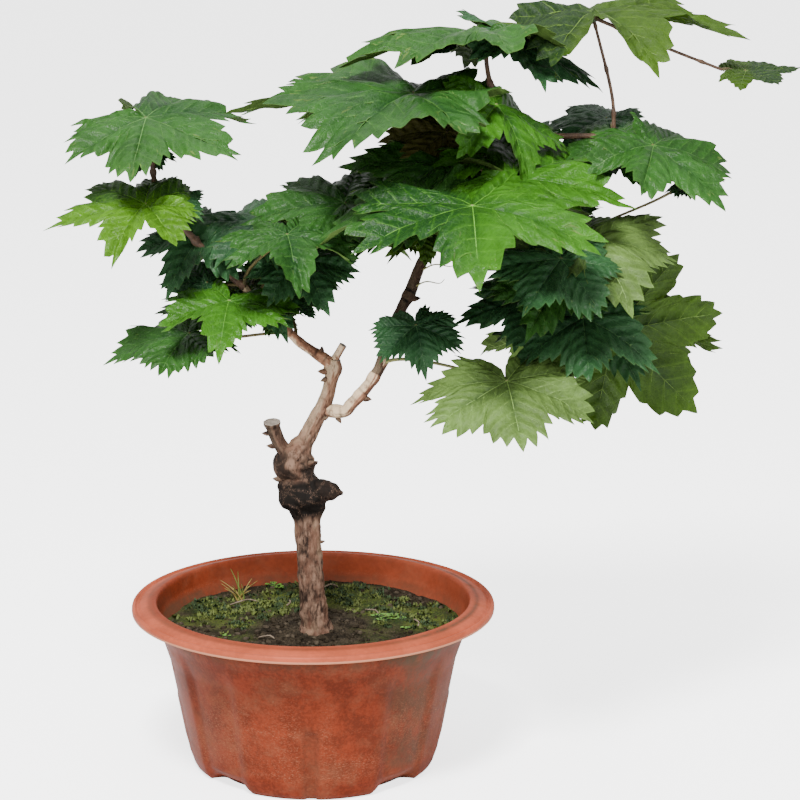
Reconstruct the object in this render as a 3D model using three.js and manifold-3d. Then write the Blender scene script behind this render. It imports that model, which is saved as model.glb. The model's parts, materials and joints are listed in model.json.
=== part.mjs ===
// Potted grapevine: a fluted pot with soil, a leaning grafted trunk, its boughs and canes, and
// the masses of leaves that they carry. Millimetres, Z up, front towards -Y.
// The origin is the centre of the pot's flat underside.
import * as THREE from "three";
import Module from "manifold-3d";

const wasm = await Module();
wasm.setup();
const { Manifold, Mesh } = wasm;

// ---- Driving sizes ----
const POT = {
  wall: 2.5, // side wall
  foot: 84, // radius of the flat underside
  rim: 140, // outer radius of the rim
  mouth: 121, // radius of the opening inside the rim
  height: 132,
  notch: 5, // rise of the four foot notches
  // outer wall: height, radius and depth of the eight grooves there
  profile: [
    [0, 92, 2.2],
    [14, 97, 2.8],
    [46, 103, 3],
    [87, 111, 2.4],
    [107, 119, 0.6],
    [118, 122, 0],
  ],
};
const SOIL_TOP = 111.6; // flat patch that the trunk stands on
const GAP = 0.4; // clearance between neighbouring solids
const SOIL_GAP = 1.2; // clearance between the soil and the pot's wall
const ROUND = 48; // facets round the pot
const EDGE = 1.6; // half thickness of a leaf mass at its edge
const BODY = 6; // half thickness of a leaf mass inside
const STALK = 3; // radius of the stalks inside a leaf mass

const COLOUR = {
  pot: 0xa5573f, soil: 0x2f251c, bark: 0x8f6f58, burl: 0x2e2622, cane: 0xa88468, shade: 0x3c2f28,
  deep: 0x1f5238, mid: 0x3f7a4a, bright: 0x63a03c, lime: 0x86b83a, olive: 0x66702a, pale: 0x8fb080,
};

// A repeatable value from -1 to 1, for unevenness.
const uneven = (a, b = 0) => {
  const s = Math.sin(a * 12.9898 + b * 78.233 + 1.7) * 43758.5453;
  return 2 * (s - Math.floor(s)) - 1;
};
const rad = (deg) => (deg * Math.PI) / 180;
const vec = ([x, y, z]) => new THREE.Vector3(x, y, z);

function solid(points, faces) {
  const made = new Manifold(
    new Mesh({ numProp: 3, vertProperties: new Float32Array(points.flat()), triVerts: new Uint32Array(faces.flat()) }),
  );
  return made;
}

// Closes rings of points, each with the same count, between a first and a last point.
function closeRings(first, rings, last) {
  const n = rings[0].length;
  const points = [first, ...rings.flat(), last];
  const at = (k, j) => 1 + k * n + (j % n);
  const faces = [];
  for (let j = 0; j < n; j++) {
    faces.push([0, at(0, j + 1), at(0, j)]);
    for (let k = 0; k + 1 < rings.length; k++) {
      faces.push([at(k, j), at(k, j + 1), at(k + 1, j + 1)], [at(k, j), at(k + 1, j + 1), at(k + 1, j)]);
    }
    faces.push([points.length - 1, at(rings.length - 1, j), at(rings.length - 1, j + 1)]);
  }
  return solid(points, faces);
}

// ---- Pot and soil ----
// Radius of the pot's outer wall at a height and an angle from the front, with its grooves.
function potRadius(z, angle) {
  const rows = POT.profile;
  let k = 0;
  while (k + 2 < rows.length && z > rows[k + 1][0]) k++;
  const [za, ra, ga] = rows[k];
  const [zb, rb, gb] = rows[k + 1];
  const t = (z - za) / (zb - za);
  const off = ((((angle + 22.5) % 45) + 45) % 45) - 22.5;
  return ra + t * (rb - ra) - (ga + t * (gb - ga)) * Math.exp(-((off / 3.2) ** 2));
}
// Rise of the foot's edge at an angle, highest at the four notches.
function notchRise(angle) {
  const off = ((((angle + 90) % 90) + 90) % 90) - 45;
  return POT.notch * Math.exp(-((off / 9) ** 2));
}
function around(place) {
  return Array.from({ length: ROUND }, (_, j) => {
    const angle = (360 * j) / ROUND;
    const [r, z] = place(angle);
    return [r * Math.sin(rad(angle)), -r * Math.cos(rad(angle)), z];
  });
}
function makePot() {
  const flat = (r, z) => around(() => [r, z]);
  const outer = (z) => around((a) => [potRadius(z, a), z]);
  const inner = (z) => around((a) => [potRadius(z, a) - POT.wall, z]);
  const rings = [
    flat(POT.foot, 0),
    around((a) => [potRadius(0, a), 0.6 + notchRise(a)]),
    ...[14, 46, 87, 107, 118].map(outer),
    flat(126, 124), flat(138.5, 124.6), flat(POT.rim, 127), flat(138.5, 129.2),
    flat(123, POT.height), flat(POT.mouth, 131),
    ...[118, 107, 87, 46, 14].map(inner),
    flat(80, 3),
  ];
  return closeRings([0, 0, 0], rings, [0, 0, 3]);
}
function makeSoil() {
  const fit = (z) => around((a) => [potRadius(z, a) - POT.wall - SOIL_GAP, z]);
  const foot = vec(TRUNK_FOOT);
  const edge = around((a) => [potRadius(107, a) - POT.wall - SOIL_GAP, 109.6]);
  const top = [0.7, 0.35].map((f, k) =>
    edge.map(([x, y], j) => {
      const near = Math.hypot(f * x - foot.x, f * y - foot.y) < 26;
      const drop = near ? 0 : 0.5 + 0.6 * (f + uneven(j >> 2, k));
      return [f * x, f * y, SOIL_TOP - Math.max(0, drop)];
    }),
  );
  const rings = [around(() => [80 - SOIL_GAP, 3 + GAP]), ...[14, 87, 107].map(fit), edge, ...top];
  return closeRings([0, 0, 3 + GAP], rings, [0, 0, SOIL_TOP]);
}

// ---- Limbs ----
// A tapering limb: path rows are [x, y, z, radius]. grow pushes every face outwards.
function limb({ path, sides = 6, steps = 4, rough = 0.05, upright = false }, grow = 0) {
  const curve = new THREE.CatmullRomCurve3(path.map(vec), false, "centripetal");
  let normal = null;
  const rings = [];
  for (let k = 0; k <= steps; k++) {
    const t = k / steps;
    const centre = curve.getPoint(t);
    const tangent = curve.getTangent(t);
    if (upright && k === 0) tangent.set(0, 0, 1);
    if (!normal) normal = new THREE.Vector3(1, 0, 0).addScaledVector(tangent, -tangent.x).normalize();
    normal.addScaledVector(tangent, -normal.dot(tangent)).normalize();
    const side = new THREE.Vector3().crossVectors(tangent, normal);
    const at = t * (path.length - 1);
    const i = Math.min(Math.floor(at), path.length - 2);
    const radius = path[i][3] + (at - i) * (path[i + 1][3] - path[i][3]);
    const end = (k === 0 ? -1 : k === steps ? 1 : 0) * grow;
    rings.push(
      Array.from({ length: sides }, (_, j) => {
        const turn = (2 * Math.PI * j) / sides;
        const r = radius * (1 + rough * uneven(k, j + path[0][0])) + grow;
        const p = centre.clone().addScaledVector(tangent, end);
        p.addScaledVector(normal, r * Math.cos(turn)).addScaledVector(side, r * Math.sin(turn));
        return p.toArray();
      }),
    );
  }
  const middle = (ring) => ring.reduce((s, p) => s.map((v, i) => v + p[i] / ring.length), [0, 0, 0]);
  return closeRings(middle(rings[0]), rings, middle(rings[steps]));
}

// ---- Leaf masses ----
// Outline of one lobed pad: angle from the tip, and radius as a share of its reach.
const LOBES = [[0, 1], [28, 0.72], [52, 0.9], [103, 0.72], [150, 0.54], [180, 0.2]];
// A thick, uneven, lobed pad. at: where its leaves spring from; reach: length to the tip;
// heading: compass turn of the tip from +X; lean: turn of the leaning side, and its tilt.
function pad({ at, reach, heading, lean: [turn, tilt], wide = 1, droop = 0.12 }, grow = 0) {
  const n = vec([
    Math.sin(rad(tilt)) * Math.cos(rad(turn)), Math.sin(rad(tilt)) * Math.sin(rad(turn)), Math.cos(rad(tilt)),
  ]);
  const tip = vec([Math.cos(rad(heading)), Math.sin(rad(heading)), 0]);
  tip.z = -(tip.x * n.x + tip.y * n.y) / n.z;
  tip.normalize();
  const side = new THREE.Vector3().crossVectors(n, tip);
  const outline = [...LOBES, ...LOBES.slice(1, -1).reverse().map(([a, r]) => [-a, r])];
  const ring = (share, half) =>
    outline.map(([angle, r], j) => {
      const d = share * (r * reach * (1 + 0.05 * uneven(j, at[0])) + grow);
      const x = wide * d * Math.sin(rad(angle));
      const y = d * Math.cos(rad(angle));
      const bump = share < 1 ? 1.5 * uneven(j, at[2] + Math.sign(half)) : 0;
      const up = half + Math.sign(half) * (bump + grow) - (droop * (x * x + y * y)) / reach;
      return vec(at).addScaledVector(side, x).addScaledVector(tip, y).addScaledVector(n, up).toArray();
    });
  const pole = (up) => vec(at).addScaledVector(n, up).toArray();
  return closeRings(
    pole(-BODY - grow),
    [ring(1, -EDGE), ring(1, EDGE), ring(0.55, BODY)],
    pole(BODY + grow),
  );
}
// A mass: its pads, and stalks from each of them to the hub on the cane.
function mass({ hub, pads }, grow = 0) {
  const stalks = pads.map(({ at }) =>
    limb({ path: [[...hub, STALK + 1], [...at, STALK]], sides: 4, steps: 1, rough: 0 }, grow),
  );
  return Manifold.union([...pads.map((p) => pad(p, grow)), ...stalks]);
}

// ---- The plant ----
const TRUNK_FOOT = [2, -17, SOIL_TOP + GAP];
const WOOD = {
  trunk: {
    upright: true, sides: 10, steps: 24, rough: 0.04, colour: "bark",
    path: [
      [...TRUNK_FOOT, 13.5], [1, -17, 120, 10.8], [-1, -16, 148, 9.7], [-3, -15, 178, 9.4], [-4, -14, 198, 10],
      [-6, -13, 208, 14], [-8, -13, 219, 16], [-10, -12, 231, 11], [-13, -12, 243, 15.5], [-8, -11, 254, 8.6],
      [-4, -10, 262, 6.6], [4, -9, 277, 6], [10, -8, 289, 5.3], [15, -7, 306, 4.7], [16, -6, 316, 5.8],
      [17, -6, 321, 4.4],
    ],
  },
  graft_nose: { colour: "burl", sides: 8, steps: 3, rough: 0.1, path: [[2, -15, 219, 11], [13, -18, 222, 8.5], [23, -20, 221, 3]] },
  cut_stub: { colour: "cane", path: [[-17, -12, 244, 5.8], [-25, -14, 259, 5.3], [-29, -16, 270, 5.6], [-30, -17, 274, 6.8]] },
  fork_stub: { colour: "cane", steps: 3, path: [[17, -6, 320, 3.4], [20, -7, 326, 3], [24, -8, 333, 3]] },
  bough_left: {
    colour: "cane", steps: 7,
    path: [[16, -6, 318, 4.2], [5, -8, 326, 3.8], [-6, -10, 334, 3.6], [-23, -14, 350, 3.4], [-37, -12, 364, 3.1], [-50, -4, 377, 2.9]],
  },
  bough_right: {
    colour: "cane", steps: 6,
    path: [[11, -8, 284, 4.9], [25, -12, 283, 4.5], [35, -14, 294, 4.3], [45, -14, 306, 4.3], [53, -12, 319, 4.2]],
  },
  bough_upper: {
    colour: "shade", steps: 6,
    path: [[53, -12, 319.6, 4.2], [64, -7, 352, 4.1], [75, 0, 373, 4.2], [81, 6, 388, 4.2], [90, 12, 406, 4], [104, 15, 430, 3.8]],
  },
  cane_left: { colour: "shade", path: [[-55, 0, 379, 2.8], [-72, 0, 396, 2.7], [-95, 6, 420, 2.4], [-116, 10, 443, 2.2]] },
  cane_left_top: { colour: "shade", path: [[-116, 8, 446, 2.2], [-118, 6, 462, 2], [-119, 4, 492, 1.8]] },
  cane_right: { colour: "shade", path: [[104, 15, 424, 3.4], [150, 12, 412, 3], [185, 2, 396, 2.7]] },
  cane_right_low: { colour: "shade", path: [[186, 0, 398, 2.6], [200, 0, 376, 2.4], [226, 4, 352, 2.2]] },
  cane_upper: { colour: "shade", path: [[118, 14, 446, 3.2], [132, 10, 478, 2.8], [138, 2, 512, 2.4]] },
  cane_top: { colour: "shade", path: [[138, 0, 514, 2.2], [132, 2, 540, 1.9], [130, 4, 562, 1.7]] },
  cane_top_left: { colour: "shade", path: [[130, 8, 478, 2.4], [108, 4, 500, 2.1], [80, -6, 522, 1.9]] },
  cane_right_upper: { colour: "shade", path: [[132, 10, 480, 2.6], [180, 16, 488, 2.4], [228, 20, 488, 2.2]] },
  cane_right_top: { colour: "shade", path: [[228, 22, 488, 2], [226, 24, 520, 1.8], [212, 20, 574, 1.6]] },
  cane_right_tip: { colour: "shade", path: [[214, 20, 576, 1.7], [262, 22, 556, 1.5], [308, 20, 538, 1.4]] },
  stalk_right_front: { colour: "cane", path: [[186, 0, 366, 1.8], [168, -40, 352, 1.6], [146, -75, 321, 1.5]] },
  stalk_middle: { colour: "cane", steps: 4, path: [[76, 0, 372, 1.8], [78, -22, 366, 1.6], [74, -40, 350, 1.5]] },
};
const LEAVES = {
  crown_left_top: {
    colour: "mid", hub: [-119, 6, 486],
    pads: [
      { at: [-122, 0, 505], reach: 84, heading: -34, lean: [-84, 18] },
      { at: [-120, 20, 476], reach: 38, heading: -120, lean: [-90, 20] },
      { at: [-116, 50, 494], reach: 54, heading: 95, lean: [90, 6] },
    ],
  },
  crown_left_tip: {
    colour: "lime", hub: [-116, 6, 445],
    pads: [{ at: [-119, -30, 445], reach: 66, heading: -150, lean: [-105, 28] }],
  },
  crown_left_inner: {
    colour: "deep", hub: [-72, 0, 398],
    pads: [
      { at: [-37, 20, 423], reach: 62, heading: 180, lean: [-90, 14] },
      { at: [26, 0, 441], reach: 76, heading: 186, lean: [-90, 16] },
      { at: [-15, -50, 426], reach: 56, heading: -80, lean: [-90, 24] },
      { at: [-81, 20, 415], reach: 56, heading: -120, lean: [-100, 28] },
    ],
  },
  crown_left_low: {
    colour: "bright", hub: [-58, 0, 374],
    pads: [
      { at: [-60, -30, 372], reach: 60, heading: -95, lean: [-90, 14] },
      { at: [-94, 0, 341], reach: 56, heading: -168, lean: [-95, 14] },
      { at: [-79, 0, 380], reach: 30, heading: 178, lean: [-90, 35] },
      { at: [-38, 10, 372], reach: 48, heading: -5, lean: [-80, 20] },
      { at: [-69, 60, 350], reach: 56, heading: 130, lean: [100, 12] },
    ],
  },
  crown_top_left: {
    colour: "mid", hub: [84, -8, 520],
    pads: [
      { at: [69, -20, 525], reach: 112, heading: -174, lean: [-88, 9], wide: 1.05 },
      { at: [59, 70, 515], reach: 80, heading: 100, lean: [90, 6] },
    ],
  },
  crown_top: {
    colour: "mid", hub: [130, 4, 558],
    pads: [
      { at: [129, 0, 563], reach: 108, heading: 176, lean: [-70, 3], droop: 0.04 },
      { at: [154, 20, 557], reach: 68, heading: -4, lean: [-12, 24] },
      { at: [128, 50, 553], reach: 56, heading: 100, lean: [90, 6] },
    ],
  },
  crown_right_top: {
    colour: "olive", hub: [212, 20, 570],
    pads: [{ at: [212, 20, 576], reach: 100, heading: -12, lean: [72, 18] }],
  },
  crown_right_tip: {
    colour: "olive", hub: [296, 20, 540],
    pads: [{ at: [308, 20, 538], reach: 54, heading: 0, lean: [-90, 3] }],
  },
  crown_upper: {
    colour: "lime", hub: [140, 0, 505],
    pads: [
      { at: [138, -20, 523], reach: 62, heading: -48, lean: [-25, 40] },
      { at: [145, 0, 481], reach: 68, heading: 160, lean: [-90, 12] },
    ],
  },
  crown_right_upper: {
    colour: "mid", hub: [230, 18, 486],
    pads: [
      { at: [231, 0, 482], reach: 52, heading: -178, lean: [-95, 22] },
      { at: [224, 60, 496], reach: 50, heading: 170, lean: [-95, 10] },
      { at: [255, -20, 487], reach: 73, heading: -40, lean: [-50, 26] },
      { at: [251, 60, 479], reach: 58, heading: 70, lean: [90, 8] },
    ],
  },
  crown_front: {
    colour: "bright", hub: [128, -40, 452],
    pads: [
      { at: [119, -95, 455], reach: 100, heading: -92, lean: [-92, 14], wide: 1.18 },
      { at: [149, -55, 463], reach: 82, heading: -14, lean: [-88, 18] },
    ],
  },
  crown_centre: {
    colour: "deep", hub: [106, 15, 430],
    pads: [
      { at: [100, -10, 472], reach: 74, heading: 172, lean: [-90, 18] },
      { at: [78, 10, 439], reach: 78, heading: 178, lean: [-90, 18] },
      { at: [90, 60, 417], reach: 60, heading: 110, lean: [90, 14] },
    ],
  },
  crown_right_middle: {
    colour: "pale", hub: [190, -6, 400],
    pads: [{ at: [199, -50, 417], reach: 76, heading: -80, lean: [-75, 24] }],
  },
  crown_right_inner: {
    colour: "deep", hub: [190, 0, 372],
    pads: [
      { at: [167, 0, 369], reach: 52, heading: -165, lean: [-95, 28] },
      { at: [204, -30, 359], reach: 58, heading: -88, lean: [-90, 30] },
      { at: [179, 50, 332], reach: 58, heading: 110, lean: [100, 30] },
    ],
  },
  crown_right_front: {
    colour: "pale", hub: [150, -66, 326],
    pads: [{ at: [146, -75, 321], reach: 74, heading: -80, lean: [-90, 30], wide: 1.05 }],
  },
  crown_right_low: {
    colour: "olive", hub: [231, 8, 350],
    pads: [
      { at: [231, 0, 342], reach: 94, heading: 27, lean: [100, 78], droop: 0.05 },
      { at: [253, 60, 330], reach: 66, heading: 50, lean: [80, 40] },
    ],
  },
  crown_middle: {
    colour: "deep", hub: [76, -34, 356],
    pads: [{ at: [74, -40, 350], reach: 42, heading: -74, lean: [-85, 40] }],
  },
  crown_back_left: {
    colour: "deep", hub: [-20, 80, 400],
    pads: [
      { at: [-50, 90, 392], reach: 72, heading: 115, lean: [95, 12] },
      { at: [12, 90, 415], reach: 78, heading: 95, lean: [90, 12] },
    ],
  },
  crown_back: {
    colour: "deep", hub: [125, 80, 438],
    pads: [
      { at: [90, 100, 445], reach: 88, heading: 85, lean: [90, 10] },
      { at: [160, 90, 435], reach: 88, heading: 55, lean: [80, 14] },
    ],
  },
  crown_back_right: {
    colour: "mid", hub: [205, 80, 365],
    pads: [
      { at: [192, 80, 386], reach: 82, heading: 40, lean: [70, 22] },
      { at: [217, 100, 346], reach: 86, heading: 80, lean: [90, 30] },
    ],
  },
};

// ---- Building ----
const plant = new THREE.Group();
plant.name = "grapevine";
function add(group, name, shape, colour) {
  const { vertProperties, triVerts, numProp } = shape.getMesh();
  const spots = new Float32Array(triVerts.length * 3);
  triVerts.forEach((v, i) => spots.set(vertProperties.subarray(v * numProp, v * numProp + 3), 3 * i));
  const geometry = new THREE.BufferGeometry();
  geometry.setAttribute("position", new THREE.BufferAttribute(spots, 3));
  geometry.computeVertexNormals();
  const material = new THREE.MeshStandardMaterial({ color: COLOUR[colour], roughness: 0.8 });
  const mesh = new THREE.Mesh(geometry, material);
  mesh.name = name;
  group.add(mesh);
}
function subgroup(name) {
  const group = new THREE.Group();
  group.name = name;
  plant.add(group);
  return group;
}

const base = subgroup("base");
add(base, "pot", makePot(), "pot");
add(base, "soil", makeSoil(), "soil");

// Each later solid keeps clear of the ones before it, and stays the one piece that is biggest.
const taken = [];
function clear(shape) {
  let left = shape;
  for (const other of taken) left = left.subtract(other);
  const parts = left.decompose().sort((a, b) => b.volume() - a.volume());
  return parts[0];
}
const crown = subgroup("crown");
for (const [name, leaves] of Object.entries(LEAVES)) {
  add(crown, name, clear(mass(leaves)), leaves.colour);
  taken.push(mass(leaves, GAP));
}
const wood = subgroup("wood");
for (const [name, spec] of Object.entries(WOOD)) {
  add(wood, name, clear(limb(spec)), spec.colour);
  taken.push(limb(spec, GAP));
}

export default plant;
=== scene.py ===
"""Potted grapevine: fluted pot, soil and moss, grafted trunk, canes and lobed leaves."""

import json
import math
import random

import bpy
import numpy as np
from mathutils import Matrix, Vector


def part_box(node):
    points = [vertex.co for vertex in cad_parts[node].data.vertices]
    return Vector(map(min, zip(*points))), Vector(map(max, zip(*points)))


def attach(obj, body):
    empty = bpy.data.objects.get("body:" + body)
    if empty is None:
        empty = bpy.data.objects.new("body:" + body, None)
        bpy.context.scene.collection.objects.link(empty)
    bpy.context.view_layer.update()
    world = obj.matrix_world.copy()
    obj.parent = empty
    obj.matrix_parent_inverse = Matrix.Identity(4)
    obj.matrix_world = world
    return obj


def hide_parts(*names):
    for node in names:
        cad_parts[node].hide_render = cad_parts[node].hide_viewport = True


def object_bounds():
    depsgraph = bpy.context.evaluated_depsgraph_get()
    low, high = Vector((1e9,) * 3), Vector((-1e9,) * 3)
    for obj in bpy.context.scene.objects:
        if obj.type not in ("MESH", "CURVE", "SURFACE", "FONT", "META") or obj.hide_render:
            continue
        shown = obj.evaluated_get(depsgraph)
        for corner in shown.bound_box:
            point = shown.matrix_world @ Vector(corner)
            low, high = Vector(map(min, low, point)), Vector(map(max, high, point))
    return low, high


bl_info = {
    "name": "Potted grapevine",
    "version": (1, 0, 0),
    "blender": (4, 5, 0),
    "location": "View3D > Sidebar > Vine",
    "description": "Builds a small grafted grapevine in a fluted pot around its packed frame",
    "category": "Add Mesh",
}

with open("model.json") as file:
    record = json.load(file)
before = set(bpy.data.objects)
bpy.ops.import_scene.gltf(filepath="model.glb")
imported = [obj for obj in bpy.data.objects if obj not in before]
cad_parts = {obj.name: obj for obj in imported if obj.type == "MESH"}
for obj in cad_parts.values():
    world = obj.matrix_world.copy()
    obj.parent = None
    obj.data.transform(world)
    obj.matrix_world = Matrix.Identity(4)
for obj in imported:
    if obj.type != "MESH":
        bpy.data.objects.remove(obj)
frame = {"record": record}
CAD_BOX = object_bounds()
BODY = "root"
SEED = 7

# ---------------------------------------------------------------- plan of the plant
# Stems follow rows of (across, back, up, radius): the first three are shares of the box of
# the solid that they stand for, and run past 0 or 1 where the stem goes on into the leaves.
# The radius is in millimetres.
TRUNK_ROWS = [
    (0.61, 0.41, -0.01, 11.8), (0.60, 0.41, 0.02, 11.0), (0.58, 0.41, 0.05, 10.5), (0.54, 0.44, 0.17, 9.7),
    (0.50, 0.47, 0.31, 9.4), (0.48, 0.50, 0.405, 10.0), (0.45, 0.53, 0.45, 13.2), (0.40, 0.53, 0.50, 15.2),
    (0.36, 0.55, 0.545, 12.6), (0.34, 0.56, 0.575, 11.0), (0.30, 0.56, 0.615, 15.0), (0.34, 0.57, 0.65, 12.0),
    (0.39, 0.59, 0.68, 8.8), (0.48, 0.63, 0.715, 6.8), (0.64, 0.66, 0.79, 6.0), (0.76, 0.69, 0.84, 5.6),
    (0.86, 0.72, 0.92, 4.8), (0.89, 0.75, 0.965, 7.0), (0.91, 0.75, 1.0, 5.0),
]
NOSE_ROWS = [(-0.1, 0.54, 0.50, 10.0), (0.35, 0.44, 0.60, 9.4), (0.70, 0.34, 0.60, 6.6), (1.0, 0.28, 0.55, 1.4)]
STUB_ROWS = [
    (1.25, 0.80, -0.30, 6.0), (0.95, 0.72, 0.0, 6.0), (0.61, 0.61, 0.40, 5.3), (0.42, 0.48, 0.78, 5.4),
    (0.36, 0.42, 0.94, 6.6), (0.35, 0.40, 0.99, 6.5),
]
FORK_STUB_ROWS = [(0.0, 0.74, -0.3, 3.6), (0.25, 0.60, 0.05, 3.3), (0.50, 0.49, 0.45, 2.9), (0.80, 0.35, 0.92, 3.0)]
BOUGHS = {
    "bough_left": [
        (1.06, 0.78, -0.04, 5.4), (0.90, 0.68, 0.12, 4.6), (0.79, 0.62, 0.22, 3.7), (0.57, 0.48, 0.42, 3.7),
        (0.40, 0.34, 0.62, 3.3), (0.23, 0.20, 0.82, 3.4), (-0.05, 0.34, 1.16, 3.0), (-0.31, 0.90, 1.48, 2.8),
    ],
    "bough_right": [
        (-0.12, 0.76, 0.22, 5.4), (0.05, 0.66, 0.12, 4.9), (0.31, 0.43, 0.12, 4.4), (0.42, 0.36, 0.24, 4.8),
        (0.53, 0.30, 0.37, 4.3),
        (0.75, 0.30, 0.65, 4.4), (0.93, 0.43, 0.95, 4.1), (1.0, 0.48, 1.08, 4.1),
    ],
    "bough_upper": [
        (0.0, 0.05, -0.05, 4.1), (0.07, 0.11, 0.02, 4.2), (0.26, 0.26, 0.30, 4.0), (0.45, 0.47, 0.49, 4.4),
        (0.55, 0.64, 0.62, 4.1),
        (0.71, 0.82, 0.78, 4.0), (0.95, 0.91, 0.99, 3.7),
    ],
}
CANES = {
    "cane_left": [
        (2.04, -0.60, -1.00, 2.8), (1.38, -0.11, -0.44, 2.7), (0.68, 0.45, 0.27, 2.4), (0.05, 0.82, 0.96, 2.2)
    ],
    "cane_left_top": [(0.67, 0.67, 0.02, 2.3), (0.35, 0.33, 0.82, 2.0), (0.19, -0.02, 2.32, 1.6)],
    "cane_right": [(0.01, 0.82, 0.92, 3.3), (0.56, 0.66, 0.56, 2.9), (0.99, 0.13, 0.07, 2.6)],
    "cane_right_low": [(0.05, 0.28, 0.97, 2.6), (0.37, 0.28, 0.52, 2.4), (0.97, 0.76, 0.03, 2.0)],
    "cane_upper": [
        (-0.45, 0.86, -0.50, 3.6), (0.16, 0.68, 0.04, 3.1), (0.93, 0.21, 1.13, 2.7), (1.26, -0.73, 2.29, 2.3)
    ],
    "cane_top": [(1.51, 0.02, -0.86, 2.2), (0.54, 0.43, 0.27, 1.8), (0.22, 0.84, 1.22, 1.5)],
    "cane_top_left": [(1.14, 0.95, -0.27, 2.3), (0.60, 0.68, 0.41, 2.0), (-0.10, -0.01, 1.09, 1.6)],
    "cane_right_upper": [(-0.82, -0.29, -0.88, 2.5), (0.35, 0.48, 0.52, 2.3), (1.52, 0.99, 0.52, 2.0)],
    "cane_right_top": [(0.91, 0.45, -0.08, 1.6), (0.79, 0.75, 0.34, 1.3), (0.01, 0.15, 1.06, 1.1)],
    "cane_right_tip": [(-0.32, 0.15, 1.42, 1.4), (0.43, 0.65, 0.60, 1.2), (1.15, 0.15, -0.13, 1.1)],
}

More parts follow.
